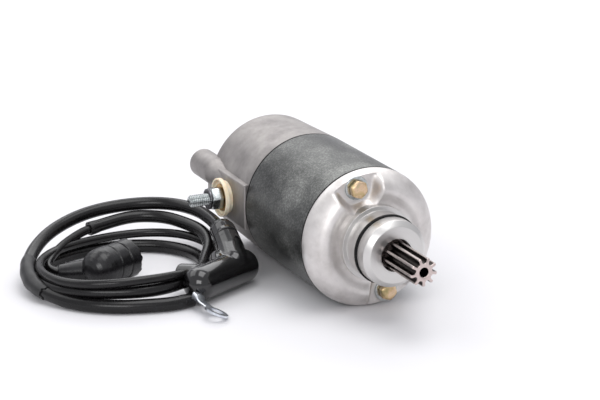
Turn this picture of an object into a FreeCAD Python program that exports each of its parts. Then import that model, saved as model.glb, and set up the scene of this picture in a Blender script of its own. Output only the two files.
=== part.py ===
"""Starter motor with its loose lead, in millimetres.

The origin is on the motor's axis, in the plane of the nose shoulder. +X points
out of the nose towards the pinion, +Z is up, and the terminal stud points to -Y.
The motor and its lead stand on the plane z = -yoke_radius.
"""
import FreeCAD
import Part
import Sketcher
import math
import os
import re

SIZES = {
    # yoke tube and the two seams
    "yoke_radius": 32.5, "yoke_wall": 3.0, "front_seam": -12.0, "rear_seam": -73.2,
    "seam_gap": 0.6, "spigot_length": 3.0, "fit_gap": 0.1, "seam_ring_inset": 0.2,
    # front cover
    "rim_end": -10.8, "crest_plane": -2.2, "crest_radius": 28.0, "ridge_plane": -0.9,
    "ridge_radius": 24.0, "valley_plane": -2.8, "valley_radius": 19.3, "shoulder_radius": 17.6,
    "pilot_radius": 15.5, "pilot_length": 18.0, "pilot_chamfer": 2.3, "nose_bore": 8.0,
    "nose_lip": 3.0, "groove_plane": 8.6, "groove_half_width": 1.15, "groove_depth": 2.05,
    "ring_section": 1.1, "ring_proud": 0.15, "core_depth": 9.5, "core_inner": 19.5,
    "core_outer": 26.0, "core_half_width": 12.0,
    # through bolts, 17 degrees round from the top towards the terminal side
    "bolt_angle": 17.0, "bolt_circle": 26.4, "bolt_radius": 2.4, "bolt_hole": 2.65,
    "bolt_seat": -7.0, "recess_inner": 19.6, "recess_inner_half": 4.6, "recess_outer": 36.0,
    "recess_outer_half": 12.6, "recess_corner": 2.8, "bolt_washer_radius": 5.5,
    "bolt_washer_thick": 1.0, "bolt_head_flats": 8.0, "bolt_head_high": 4.0, "bolt_end": -90.0,
    "bolt_ring_pocket": 4.5, "bolt_ring_depth": 1.6,
    # seal and front bearing
    "seal_radius": 12.0, "seal_thick": 5.0, "journal_radius": 7.5, "running_gap": 0.05,
    "bearing_radius": 16.0, "bearing_front": -1.0, "bearing_width": 9.0, "race_inner": 9.9,
    "race_outer": 13.6, "ball_radius": 2.3, "race_groove": 2.4, "ball_count": 9.0,
    "cage_half_width": 3.0, "cage_half_thick": 0.5,
    # magnets and armature
    "magnet_inner": 25.0, "magnet_front": -18.0, "magnet_rear": -66.0, "magnet_span": 64.0,
    "core_radius": 23.6, "core_front": -20.0, "core_rear": -64.0, "core_seat": 6.0,
    "slot_count": 14.0, "slot_bottom": 14.0, "slot_half_width": 2.0, "bar_gap": 0.15,
    "winding_overhang": 5.0, "winding_inner": 9.5, "winding_outer": 22.0,
    "collar_radius": 9.0, "collar_front": -12.6, "collar_rear": -14.6,
    "rear_journal": 4.5, "rear_journal_front": -84.0, "shaft_rear": -110.5,
    # pinion cut on the end of the shaft
    "pinion_radius": 6.5, "pinion_start": 14.5, "pinion_end": 43.3, "pinion_chamfer": 0.5,
    "tooth_count": 9.0, "gap_centre": 5.25, "gap_radius": 1.12, "gap_mouth_half": 1.5,
    "gap_mouth": 7.0, "gap_run_out": 17.5, "centre_hole": 2.2, "centre_hole_deep": 8.0,
    # commutator
    "commutator_front": -78.0, "commutator_rear": -97.0, "commutator_radius": 12.0,
    "hub_radius": 9.5, "segment_count": 24.0, "segment_gap_half": 0.25,
    # rear cover
    "cover_rear": -120.5, "cover_rear_radius": 31.3, "cover_bore": 28.3, "cover_floor": -112.0,
    "rear_edge_round": 4.5, "bush_radius": 7.0, "bush_front": -100.5, "bush_rear": -111.5,
    "bush_hub": 10.5, "bolt_boss_radius": 4.4, "bolt_boss_front": -80.0,
    "pad_face": 33.0, "pad_half_height": 11.0, "pad_rear": -118.0, "pad_root": 24.0,
    "lug_radius": 7.0, "lug_end": -131.0, "lug_front": -112.0, "lug_side": 29.8, "lug_high": 6.8,
    "lug_hole": 2.5, "lug_hole_deep": 14.0, "lug_taper_length": 14.0, "lug_taper_tip": 3.0,
    # brush gear
    "plate_front": -75.6, "plate_thick": 1.5, "plate_radius": 28.0, "plate_bore": 13.6,
    "plate_bolt_hole": 3.2, "holder_insulator": 1.0, "holder_length": 10.0,
    "holder_half_width": 4.4, "holder_inner": 14.2, "holder_outer": 24.4, "brush_length": 8.0,
    "brush_half_width": 3.2, "brush_deep": 7.0, "brush_gap": 0.1, "spring_radius": 2.2,
    "spring_wire": 0.35, "spring_turns": 3.0, "bus_inner": 20.0,
    "bus_outer": 24.4, "bus_thick": 1.0, "bus_start": -128.0, "bus_span": 106.0,
    # terminal
    "stud_plane": -94.0, "stud_radius": 3.0, "stud_shank": 2.65, "stud_tip": 52.7,
    "stud_chamfer": 0.7, "stud_head_radius": 4.9,
    "stud_head_inner": 23.0, "stud_head_outer": 26.0, "inner_flange_radius": 7.0,
    "inner_flange_end": 27.2, "terminal_hole": 5.5, "sleeve_radius": 5.4,
    "collar_out_radius": 8.0, "collar_out_end": 35.2, "flange_radius": 9.4, "flange_end": 37.4,
    "recess_radius": 8.4, "recess_floor": 35.4, "terminal_ring_centre": 4.4,
    "terminal_ring_section": 0.85, "terminal_ring_pocket": 34.6, "washer_radius": 6.0,
    "washer_end": 36.4, "nut_flats": 10.0, "nut_end": 41.4, "lock_washer_radius": 5.6,
    "lock_washer_start": 41.5, "lock_washer_end": 43.1, "lock_washer_gap_half": 0.5,
    # loose lead
    "coil_x": -91.5, "coil_y": -88.0, "coil_radius": 51.5, "coil_hole": 33.0, "coil_high": 23.0,
    "coil_low": 13.5, "coil_high_side": 128.0, "coil_clearance": 0.4,
    "boot_radius": 7.3, "boot_left_x": -45.0, "boot_left_y": -69.0, "boot_right_x": -60.5,
    "boot_right_y": -38.5, "boot_high": -23.0, "branch_radius": 6.9,
    "branch_root_x": -56.0, "branch_root_y": -47.0, "branch_root_z": -22.0,
    "branch_top_x": -81.0, "branch_top_y": -41.6, "branch_top_z": -13.5,
    "neck_radius": 5.0, "neck_root_x": -49.0, "neck_root_y": -62.0, "neck_root_z": -23.0,
    "neck_tip_x": -60.0, "neck_tip_y": -70.0, "neck_tip_z": -21.5,
    "cap_radius": 9.3, "cap_closed_x": -87.0, "cap_closed_y": -100.5, "cap_open_x": -97.0,
    "cap_open_y": -80.0, "cap_high": -22.8, "cap_neck_radius": 4.2, "cap_neck_x": -94.0,
    "cap_neck_y": -117.0, "cap_neck_z": -23.8,
    "lug_ring_radius": 5.6, "lug_ring_hole": 3.2, "lug_thick": 1.0, "lug_x": -24.0, "lug_y": -67.0,
    "lug_z": -32.2, "lug_barrel": 2.6, "lug_barrel_length": 12.0,
}

V = FreeCAD.Vector
doc = FreeCAD.newDocument("StarterMotor")
sheet = doc.addObject("Spreadsheet::Sheet", "Sizes")
for row, (alias, value) in enumerate(SIZES.items(), start=1):
    sheet.set(f"A{row}", alias.replace("_", " "))
    sheet.set(f"B{row}", str(value))
    sheet.setAlias(f"B{row}", alias)
doc.recompute()
nodes = []


def size(alias):
    """A driving size, read back from the sheet."""
    return float(sheet.get(alias))


def bound(text):
    """The expression with each size's name pointed at the sheet."""
    def cell(word):
        return "Sizes." + word.group() if word.group() in SIZES else word.group()
    return re.sub(r"[A-Za-z_]\w*", cell, str(text))


def bind(thing, **sizes):
    for name, text in sizes.items():
        thing.setExpression(name, bound(text))
    return thing


def place(thing, base, along=(0, 0, 1), turn=0.0):
    """Point the thing's own Z along a direction, with its base corner bound to the sheet."""
    rotation = FreeCAD.Rotation(V(0, 0, 1), V(*along)).multiply(FreeCAD.Rotation(V(0, 0, 1), turn))
    thing.Placement = FreeCAD.Placement(V(), rotation)
    for axis, text in zip("xyz", base):
        thing.setExpression("Placement.Base." + axis, bound(text))
    return thing


def node(name, thing):
    """Name a finished piece: its label is the name of its file."""
    thing.Label = name
    nodes.append(thing)
    return thing


# ---- sketches and turned pieces ----

def origin_plane(body, role):
    return next(item for item in body.Origin.OriginFeatures if item.Role == role)


def outline(body, name, role, corners, turn=0):
    """A closed outline of straight sides: each corner is a pair of expressions."""
    sketch = body.newObject("Sketcher::SketchObject", name)
    sketch.AttachmentSupport = (origin_plane(body, role), [""])
    sketch.MapMode = "FlatFace"
    if turn:
        sketch.setExpression("AttachmentOffset.Rotation.Angle", bound(turn))
    count = len(corners)
    start = [V(math.cos(2 * math.pi * i / count), math.sin(2 * math.pi * i / count), 0) * 20
             for i in range(count)]
    for i in range(count):
        sketch.addGeometry(Part.LineSegment(start[i], start[(i + 1) % count]))
    for i in range(count):
        sketch.addConstraint(Sketcher.Constraint("Coincident", i, 2, (i + 1) % count, 1))
    for i, corner in enumerate(corners):
        for kind, text, now in zip(("DistanceX", "DistanceY"), corner, (start[i].x, start[i].y)):
            index = sketch.addConstraint(Sketcher.Constraint(kind, -1, 1, i, 1, now))
            sketch.setExpression(f"Constraints[{index}]", bound(text))
    return sketch


def circle(body, name, role, centre, radius, turn=0):
    """A circle whose centre and radius are expressions."""
    sketch = body.newObject("Sketcher::SketchObject", name)
    sketch.AttachmentSupport = (origin_plane(body, role), [""])
    sketch.MapMode = "FlatFace"
    if turn:
        sketch.setExpression("AttachmentOffset.Rotation.Angle", bound(turn))
    sketch.addGeometry(Part.Circle(V(3, 3, 0), V(0, 0, 1), 1.0))
    for kind, text in zip(("DistanceX", "DistanceY"), centre):
        index = sketch.addConstraint(Sketcher.Constraint(kind, -1, 1, 0, 3, 3.0))
        sketch.setExpression(f"Constraints[{index}]", bound(text))
    index = sketch.addConstraint(Sketcher.Constraint("Radius", 0, 1.0))
    sketch.setExpression(f"Constraints[{index}]", bound(radius))
    return sketch


def turned(name, corners):
    """A piece turned about the motor's axis, from its half section of (x, radius) corners."""
    body = doc.addObject("PartDesign::Body", name)
    section = outline(body, name + "_section", "XZ_Plane", corners)
    turning = body.newObject("PartDesign::Revolution", name + "_turning")
    turning.Profile = section
    turning.ReferenceAxis = (section, ["H_Axis"])
    turning.Angle = 360
    section.Visibility = False
    return body


def ring(name, rear, front, inner, outer):
    return turned(name, [(rear, inner), (front, inner), (front, outer), (rear, outer)])


def on_stud(name, corners):
    """A piece turned about the terminal stud, from (distance from the axis of the motor, radius)."""
    body = doc.addObject("PartDesign::Body", name)
    section = outline(body, name + "_section", "YZ_Plane", [("-(" + y + ")", r) for y, r in corners])
    turning = body.newObject("PartDesign::Revolution", name + "_turning")
    turning.Profile = section
    turning.ReferenceAxis = (section, ["H_Axis"])
    turning.Angle = 360
    section.Visibility = False
    body.setExpression("Placement.Base.x", bound("stud_plane"))
    return body


def pocket(body, sketch, name, depth, towards_plus=False):
    """Cut the sketch into the body; the volume is compared so that no cut misses."""
    doc.recompute()
    before = body.Shape.Volume
    cut = body.newObject("PartDesign::Pocket", name)
    cut.Profile = sketch
    bind(cut, Length=depth)
    cut.Reversed = towards_plus
    sketch.Visibility = False
    doc.recompute()
    if not body.Shape.Volume < before - 1e-3:
        raise RuntimeError(name + " cuts nothing")
    return cut


def around(body, name, features, count):
    """Repeat features round the motor's axis."""
    pattern = body.newObject("PartDesign::PolarPattern", name)
    pattern.Originals = features
    pattern.Axis = (origin_axis(body), [""])
    pattern.Angle = 360
    bind(pattern, Occurrences=count)
    body.Tip = pattern
    doc.recompute()
    return pattern


def origin_axis(body):
    return next(item for item in body.Origin.OriginFeatures if item.Role == "X_Axis")


# ---- primitives and booleans ----

def cylinder(name, radius, height, base, along, turn=0.0):
    return place(bind(doc.addObject("Part::Cylinder", name), Radius=radius, Height=height),
                 base, along, turn)


def cone(name, radius_one, radius_two, height, base, along):
    return place(bind(doc.addObject("Part::Cone", name), Radius1=radius_one, Radius2=radius_two,
                      Height=height), base, along)


def sphere(name, radius, base):
    return place(bind(doc.addObject("Part::Sphere", name), Radius=radius), base)


def torus(name, centre_radius, section, base, along):
    return place(bind(doc.addObject("Part::Torus", name), Radius1=centre_radius, Radius2=section),
                 base, along)


def box(name, low, sides):
    """A box from its lowest corner and its three sides, all expressions."""
    block = doc.addObject("Part::Box", name)
    bind(block, Length=sides[0], Width=sides[1], Height=sides[2])
    return place(block, low)


def cut(name, base, tool):
    result = doc.addObject("Part::Cut", name)
    result.Base = base
    result.Tool = tool
    return result


def fuse(name, things):
    result = doc.addObject("Part::MultiFuse", name)
    result.Shapes = things
    return result


def common(name, things):
    result = doc.addObject("Part::MultiCommon", name)
    result.Shapes = things
    return result


def group(name, things):
    """Like pieces that share one node as separate solids."""
    result = doc.addObject("Part::Compound", name)
    result.Links = things
    return result


def round_about(thing, degrees):
    """Turn a placed thing about the motor's axis."""
    thing.Placement = FreeCAD.Placement(V(), FreeCAD.Rotation(V(1, 0, 0), degrees)).multiply(
        thing.Placement)
    return thing


def off_axis(radius, angle):
    """The (y, z) expressions of a point at a radius, an angle round from the top towards -Y."""
    return (f"-({radius}) * sin(({angle}) * 1deg)", f"({radius}) * cos(({angle}) * 1deg)")


BOLT_TURNS = (0, 180)
OUT = (1, 0, 0)
BACK = (-1, 0, 0)
SIDE = (0, -1, 0)

# ---- front cover: a casting with a machined nose ----

SEAM_FACE = "front_seam + seam_gap / 2"
SPIGOT = "yoke_radius - yoke_wall - fit_gap"
SPIGOT_END = "front_seam - spigot_length"
cover = turned("FrontCover", [
    (SEAM_FACE, "yoke_radius"), ("rim_end", "yoke_radius"), ("crest_plane", "crest_radius"),
    ("ridge_plane", "ridge_radius"), ("valley_plane", "valley_radius"),
    ("valley_plane", "shoulder_radius"), ("0", "shoulder_radius"), ("0", "pilot_radius"),
    ("groove_plane - groove_half_width", "pilot_radius"),
    ("groove_plane - groove_half_width", "pilot_radius - groove_depth"),
    ("groove_plane + groove_half_width", "pilot_radius - groove_depth"),
    ("groove_plane + groove_half_width", "pilot_radius"),
    ("pilot_length - pilot_chamfer", "pilot_radius"),
    ("pilot_length", "pilot_radius - pilot_chamfer"), ("pilot_length", "nose_bore"),
    ("pilot_length - nose_lip", "nose_bore"), ("pilot_length - nose_lip", "seal_radius"),
    ("bearing_front", "seal_radius"), ("bearing_front", "bearing_radius"),
    (SPIGOT_END, "bearing_radius"), (SPIGOT_END, SPIGOT), (SEAM_FACE, SPIGOT)])
doc.recompute()


def round_edges(body, name, radius, wanted):
    """Fillet the edges of a body's shape that a test on each edge picks out."""
    base = body.Tip
    chosen = [f"Edge{i}" for i, edge in enumerate(base.Shape.Edges, start=1) if wanted(edge)]
    fillet = body.newObject("PartDesign::Fillet", name)
    fillet.Base = (base, chosen)
    bind(fillet, Radius=radius)
    doc.recompute()
    return fillet


def is_circle(edge, plane, radius):
    curve = edge.Curve
    return (isinstance(curve, Part.Circle) and abs(curve.Center.x - plane) < 0.01
            and abs(curve.Radius - radius) < 0.01)


round_edges(cover, "CrestRound", "4.0",
            lambda edge: is_circle(edge, size("crest_plane"), size("crest_radius"))
            or is_circle(edge, size("ridge_plane"), size("ridge_radius")))
round_edges(cover, "RimRound", "3.0",
            lambda edge: is_circle(edge, size("rim_end"), size("yoke_radius")))
recess = outline(cover, "RecessOutline", "YZ_Plane", [
    ("-recess_inner_half", "recess_inner"), ("recess_inner_half", "recess_inner"),
    ("recess_inner_half + recess_corner", "recess_inner + recess_corner"),
    ("recess_outer_half", "recess_outer"), ("-recess_outer_half", "recess_outer"),
    ("-recess_inner_half - recess_corner", "recess_inner + recess_corner")], "bolt_angle")
recess_cut = pocket(cover, recess, "Recess", "-bolt_seat")
hole = circle(cover, "BoltHoleCircle", "YZ_Plane", ("0", "bolt_circle"), "bolt_hole", "bolt_angle")
hole_cut = pocket(cover, hole, "BoltHole", "-(front_seam - spigot_length) + 1")
seat = circle(cover, "BoltRingCircle", "YZ_Plane", ("0", "bolt_circle"), "bolt_ring_pocket",
              "bolt_angle")
seat_cut = pocket(cover, seat, "BoltRingPocket", "-bolt_seat + bolt_ring_depth")
around(cover, "BothBolts", [recess_cut, hole_cut, seat_cut], 2)
core = outline(cover, "CoreOutline", "YZ_Plane", [
    ("core_inner", "-core_half_width"), ("core_outer", "-core_half_width / 2"),
    ("core_outer", "core_half_width / 2"), ("core_inner", "core_half_width")], "bolt_angle")
core.setExpression("AttachmentOffset.Base.z", bound(SPIGOT_END))
core_cut = pocket(cover, core, "Core", "core_depth", True)
around(cover, "BothCores", [core_cut], 2)
node("front_cover", cover)

node("nose_o_ring", torus("NoseRing", "pilot_radius + ring_proud - ring_section", "ring_section",
                          ("groove_plane", "0", "0"), OUT))
node("front_oil_seal", turned("OilSeal", [
    ("pilot_length - nose_lip - seal_thick", "journal_radius + 1.2"),
    ("pilot_length - nose_lip - 3", "journal_radius + 1.2"),
    ("pilot_length - nose_lip - 2", "journal_radius + running_gap"),
    ("pilot_length - nose_lip - 1.2", "journal_radius + running_gap"),
    ("pilot_length - nose_lip", "journal_radius + 1"),
    ("pilot_length - nose_lip", "seal_radius"),
    ("pilot_length - nose_lip - seal_thick", "seal_radius")]))

# ---- front bearing ----

BEARING_REAR = "bearing_front - bearing_width"
BALL_PLANE = "bearing_front - bearing_width / 2"
BALL_CIRCLE = "(race_inner + race_outer) / 2"
outer_ring = ring("OuterRace", BEARING_REAR, "bearing_front", "race_outer", "bearing_radius")
node("bearing_outer_race", cut("OuterRaceGrooved", outer_ring, torus(
    "OuterGroove", BALL_CIRCLE, "race_groove", (BALL_PLANE, "0", "0"), OUT)))
inner_ring = ring("InnerRace", BEARING_REAR, "bearing_front", "journal_radius", "race_inner")
node("bearing_inner_race", cut("InnerRaceGrooved", inner_ring, torus(
    "InnerGroove", BALL_CIRCLE, "race_groove", (BALL_PLANE, "0", "0"), OUT)))
balls = []
ball_pockets = []
for index in range(int(size("ball_count"))):
    spot = (BALL_PLANE,) + off_axis(BALL_CIRCLE, 360 / size("ball_count") * index)
    balls.append(sphere(f"Ball{index}", "ball_radius", spot))
    ball_pockets.append(sphere(f"BallPocket{index}", "race_groove", spot))
node("bearing_balls", group("Balls", balls))
cage_ring = ring("CageRing", BALL_PLANE + " - cage_half_width", BALL_PLANE + " + cage_half_width",
                 BALL_CIRCLE + " - cage_half_thick", BALL_CIRCLE + " + cage_half_thick")
node("bearing_cage", cut("Cage", cage_ring, fuse("BallPockets", ball_pockets)))
node("front_thrust_washers", group("FrontWashers", [
    ring("FrontWasherA", "collar_front + 0.1", "collar_front + 1.1", "journal_radius",
         "journal_radius + 2.5"),
    ring("FrontWasherB", "collar_front + 1.2", "collar_front + 2.2", "journal_radius",
         "journal_radius + 2.2")]))

# ---- yoke, its seam rings and magnets ----

node("yoke_tube", ring("YokeTube", "rear_seam + seam_gap / 2", "front_seam - seam_gap / 2",
                       "yoke_radius - yoke_wall", "yoke_radius"))
for name, plane in (("front_seam_ring", "front_seam"), ("rear_seam_ring", "rear_seam")):
    node(name, ring(name.title().replace("_", ""), plane + " - seam_gap / 2",
                    plane + " + seam_gap / 2", SPIGOT, "yoke_radius - seam_ring_inset"))
magnets = []
for index in range(4):
    start = 90 + size("bolt_angle") + 45 - size("magnet_span") / 2 + 90 * index
    slab = cylinder(f"MagnetSlab{index}", "yoke_radius - yoke_wall", "magnet_front - magnet_rear",
                    ("magnet_rear", "0", "0"), OUT)
    bind(slab, Angle="magnet_span")
    slab.Placement.Rotation = FreeCAD.Rotation(V(1, 0, 0), start).multiply(
        FreeCAD.Rotation(V(0, 0, 1), V(1, 0, 0)))
    bore = cylinder(f"MagnetBore{index}", "magnet_inner", "magnet_front - magnet_rear",
                    ("magnet_rear", "0", "0"), OUT)
    magnets.append(cut(f"Magnet{index}", slab, bore))
node("field_magnets", group("Magnets", magnets))

# ---- armature: shaft with the pinion cut on it, core, windings, commutator ----

shaft = turned("ArmatureShaft", [
    ("shaft_rear", "0"), ("shaft_rear", "rear_journal - 0.5"),
    ("shaft_rear + 0.5", "rear_journal"), ("rear_journal_front", "rear_journal"),
    ("rear_journal_front", "core_seat"), ("collar_rear", "core_seat"),
    ("collar_rear", "collar_radius"), ("collar_front", "collar_radius"),
    ("collar_front", "journal_radius"), ("pinion_start - 0.5", "journal_radius"),
    ("pinion_start", "journal_radius - 0.5"), ("pinion_start", "pinion_radius"),
    ("pinion_end - pinion_chamfer", "pinion_radius"),
    ("pinion_end", "pinion_radius - pinion_chamfer"), ("pinion_end", "centre_hole"),
    ("pinion_end - centre_hole_deep", "centre_hole"),
    ("pinion_end - centre_hole_deep - centre_hole / 2", "0")])
GAP_DEPTH = "pinion_end - gap_run_out"
root = circle(shaft, "GapRootCircle", "YZ_Plane", ("0", "gap_centre"), "gap_radius")
root.setExpression("AttachmentOffset.Base.z", bound("pinion_end"))
root_cut = pocket(shaft, root, "GapRoot", GAP_DEPTH)
mouth = outline(shaft, "GapMouthOutline", "YZ_Plane", [
    ("-gap_radius", "gap_centre"), ("gap_radius", "gap_centre"),
    ("gap_mouth_half", "gap_mouth"), ("-gap_mouth_half", "gap_mouth")])
mouth.setExpression("AttachmentOffset.Base.z", bound("pinion_end"))
mouth_cut = pocket(shaft, mouth, "GapMouth", GAP_DEPTH)
around(shaft, "Teeth", [root_cut, mouth_cut], "tooth_count")
node("armature_shaft", shaft)

laminations = ring("Laminations", "core_rear", "core_front", "core_seat", "core_radius")
slot = outline(laminations, "SlotOutline", "YZ_Plane", [
    ("-slot_half_width", "slot_bottom"), ("slot_half_width", "slot_bottom"),
    ("slot_half_width", "core_radius + 2"), ("-slot_half_width", "core_radius + 2")])
slot.setExpression("AttachmentOffset.Base.z", bound("core_front + 1"))
slot_cut = pocket(laminations, slot, "Slot", "core_front - core_rear + 2")
around(laminations, "Slots", [slot_cut], "slot_count")
node("armature_core", laminations)

coils = [ring("FrontCoils", "core_front", "core_front + winding_overhang", "winding_inner",
              "winding_outer"),
         ring("RearCoils", "core_rear - winding_overhang", "core_rear", "winding_inner",
              "winding_outer")]
for index in range(int(size("slot_count"))):
    bar = box(f"SlotBar{index}", ("core_rear", "-slot_half_width + bar_gap",
                                  "slot_bottom + bar_gap"),
              ("core_front - core_rear", "2 * (slot_half_width - bar_gap)",
               "winding_outer - slot_bottom - bar_gap"))
    doc.recompute()
    bar.setExpression("Placement.Base.y", None)
    bar.setExpression("Placement.Base.z", None)
    coils.append(round_about(bar, 360 / size("slot_count") * index))
node("armature_windings", fuse("Windings", coils))

node("commutator_hub", ring("CommutatorHub", "commutator_rear", "commutator_front", "core_seat",
                            "hub_radius"))
segments = ring("Segments", "commutator_rear", "commutator_front", "hub_radius",
                "commutator_radius")
segments.AllowCompound = True
mica = outline(segments, "MicaOutline", "YZ_Plane", [
    ("-segment_gap_half", "hub_radius - 1"), ("segment_gap_half", "hub_radius - 1"),
    ("segment_gap_half", "commutator_radius + 1"), ("-segment_gap_half", "commutator_radius + 1")])
mica.setExpression("AttachmentOffset.Base.z", bound("commutator_front + 1"))
mica_cut = pocket(segments, mica, "Mica", "commutator_front - commutator_rear + 2")
around(segments, "MicaGaps", [mica_cut], "segment_count")
node("commutator_segments", segments)
node("rear_thrust_washers", group("RearWashers", [
    ring("RearWasherA", "commutator_rear - 1.4", "commutator_rear - 0.4", "rear_journal",
         "bush_radius"),
    ring("RearWasherB", "commutator_rear - 2.6", "commutator_rear - 1.6", "rear_journal",
         "bush_radius - 0.5")]))

# ---- rear cover: a casting with a terminal pad and two mounting lugs ----

REAR_FACE = "rear_seam - seam_gap / 2"
casting = turned("RearCasting", [
    ("cover_rear", "0"), ("cover_rear", "cover_rear_radius"), (REAR_FACE + " - 1", "yoke_radius"),
    (REAR_FACE, "yoke_radius"), (REAR_FACE, SPIGOT), ("rear_seam + spigot_length", SPIGOT),
    ("rear_seam + spigot_length", "0")])
doc.recompute()
round_edges(casting, "RearEdge", "rear_edge_round",
            lambda edge: is_circle(edge, size("cover_rear"), size("cover_rear_radius")))
pad = box("TerminalPad", ("pad_rear", "-pad_face", "-pad_half_height"),
          (REAR_FACE + " - pad_rear", "pad_face - pad_root", "2 * pad_half_height"))
doc.recompute()
pad_round = doc.addObject("Part::Fillet", "PadRound")
pad_round.Base = pad
pad_round.Edges = [(i, 0.8, 0.8) for i, edge in enumerate(pad.Shape.Edges, start=1)
                   if edge.BoundBox.YMax < -size("pad_face") + 0.01]
lugs = []
lug_holes = []
for index, sign in enumerate(("-", "")):
    centre = (f"{sign}lug_side", ("" if sign else "-") + "lug_high")
    lugs.append(cylinder(f"Lug{index}", "lug_radius", "lug_front - lug_end",
                         ("lug_end",) + centre, OUT))
    lugs.append(cone(f"LugTaper{index}", "lug_radius", "lug_taper_tip", "lug_taper_length",
                     ("lug_front",) + centre, OUT))
    lug_holes.append(cylinder(f"LugHole{index}", "lug_hole", "lug_hole_deep",
                              ("lug_end",) + centre, OUT))
outside = fuse("RearOutside", [casting, pad_round] + lugs)
cavity = turned("RearCavity", [
    ("cover_floor", "bush_hub"), ("bush_front", "bush_hub"), ("bush_front", "bush_radius"),
    ("bush_rear", "bush_radius"), ("bush_rear", "0"), ("rear_seam + spigot_length + 1", "0"),
    ("rear_seam + spigot_length + 1", "cover_bore"), ("cover_floor", "cover_bore")])
hollow = cut("RearHollow", outside, cavity)
bosses = []
threads = []
for index, turn in enumerate(BOLT_TURNS):
    spot = off_axis("bolt_circle", f"bolt_angle + {turn}")
    bosses.append(cylinder(f"BoltBoss{index}", "bolt_boss_radius", "bolt_boss_front - cover_floor",
                           ("cover_floor",) + spot, OUT))
    threads.append(cylinder(f"BoltThread{index}", "bolt_radius",
                            "rear_seam + spigot_length - bolt_end + 2", ("bolt_end - 1",) + spot,
                            OUT))
bored = cylinder("TerminalHole", "terminal_hole", "pad_face", ("stud_plane", "0", "0"), SIDE)
bosses_inside = common("BossesInside", [fuse("Bosses", bosses), cylinder(
    "BossLimit", "yoke_radius - 1", "bolt_boss_front - cover_floor", ("cover_floor", "0", "0"),
    OUT)])
solid = fuse("RearSolid", [hollow, bosses_inside])
node("rear_cover", cut("RearCover", solid, fuse("RearHoles", threads + lug_holes + [bored])))
node("rear_bush", ring("RearBush", "bush_rear", "bush_front", "rear_journal + running_gap",
                       "bush_radius"))

# ---- brush gear ----

PLATE_REAR = "plate_front - plate_thick"
plate_disc = ring("PlateDisc", PLATE_REAR, "plate_front", "plate_bore", "plate_radius")
plate_holes = [cylinder(f"PlateHole{index}", "plate_bolt_hole", "plate_thick + 2",
                        (PLATE_REAR + " - 1",) + off_axis("bolt_circle", f"bolt_angle + {turn}"),
                        OUT)
               for index, turn in enumerate(BOLT_TURNS)]
node("brush_plate", cut("BrushPlate", plate_disc, fuse("PlateHoles", plate_holes)))
HOLDER_REAR = PLATE_REAR + " - holder_insulator - holder_length"
holders = []
insulators = []
for index in range(4):
    turn = size("bolt_angle") + 45 + 90 * index
    radial = FreeCAD.Rotation(V(1, 0, 0), turn).multVec(V(0, 0, 1))
    live = index in (0, 1)
    front = PLATE_REAR + (" - holder_insulator" if live else "")

    def block(name, low_x, length, half_width, inner, outer):
        thing = box(name, (low_x, f"-({half_width})", inner),
                    (length, f"2 * ({half_width})", f"{outer} - ({inner})"))
        doc.recompute()
        thing.setExpression("Placement.Base.y", None)
        thing.setExpression("Placement.Base.z", None)
        return round_about(thing, turn)

    shell = block(f"HolderShell{index}", HOLDER_REAR, f"{front} - ({HOLDER_REAR})",
                  "holder_half_width", "holder_inner", "holder_outer")
    way = block(f"HolderWay{index}", HOLDER_REAR + " + 1 - brush_gap",
                "brush_length + 2 * brush_gap", "brush_half_width + brush_gap",
                "holder_inner - 1", "holder_outer - 1")
    holders.append(cut(f"Holder{index}", shell, way))
    if live:
        insulators.append(block(f"HolderPad{index}", PLATE_REAR + " - holder_insulator",
                                "holder_insulator", "holder_half_width + 1", "holder_inner",
                                "holder_outer"))
    node(f"brush_{index + 1}", block(
        f"Brush{index}", HOLDER_REAR + " + 1", "brush_length", "brush_half_width",
        "commutator_radius + running_gap", "commutator_radius + brush_deep"))
    doc.recompute()
    holder_rear = (size("plate_front") - size("plate_thick") - size("holder_insulator")
                   - size("holder_length"))
    middle = holder_rear + 1 + size("brush_length") / 2
    start = size("commutator_radius") + size("brush_deep") + size("spring_wire")
    wire_path = Part.makeHelix(
        (size("holder_outer") - 1 - start - size("spring_wire")) / size("spring_turns"),
        size("holder_outer") - 1 - start - size("spring_wire"), size("spring_radius"))
    section = Part.Wire(Part.makeCircle(size("spring_wire"), V(size("spring_radius"), 0, 0),
                                        V(0, 1, 0)))
    spring = doc.addObject("Part::Feature", f"Spring{index}")
    spring.Shape = Part.Wire(wire_path).makePipeShell([section], True, True)
    spring.Placement = FreeCAD.Placement(V(middle, 0, 0) + radial * start,
                                         FreeCAD.Rotation(V(0, 0, 1), radial))
    node(f"brush_spring_{index + 1}", spring)
node("live_brush_holders", group("LiveHolders", holders[:2]))
node("earth_brush_holders", group("EarthHolders", holders[2:]))
node("holder_insulators", group("HolderPads", insulators))
bus_slab = cylinder("BusSlab", "bus_outer", "bus_thick", (HOLDER_REAR + " - bus_thick", "0", "0"),
                    OUT)
bind(bus_slab, Angle="bus_span")
bus_slab.Placement.Rotation = FreeCAD.Rotation(V(1, 0, 0), size("bus_start")).multiply(
    FreeCAD.Rotation(V(0, 0, 1), V(1, 0, 0)))
bus_bore = cylinder("BusBore", "bus_inner", "bus_thick", (HOLDER_REAR + " - bus_thick", "0", "0"),
                    OUT)
node("live_bus_bar", cut("BusBar", bus_slab, bus_bore))

# ---- terminal: stud, insulators, washers and nut ----

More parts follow.
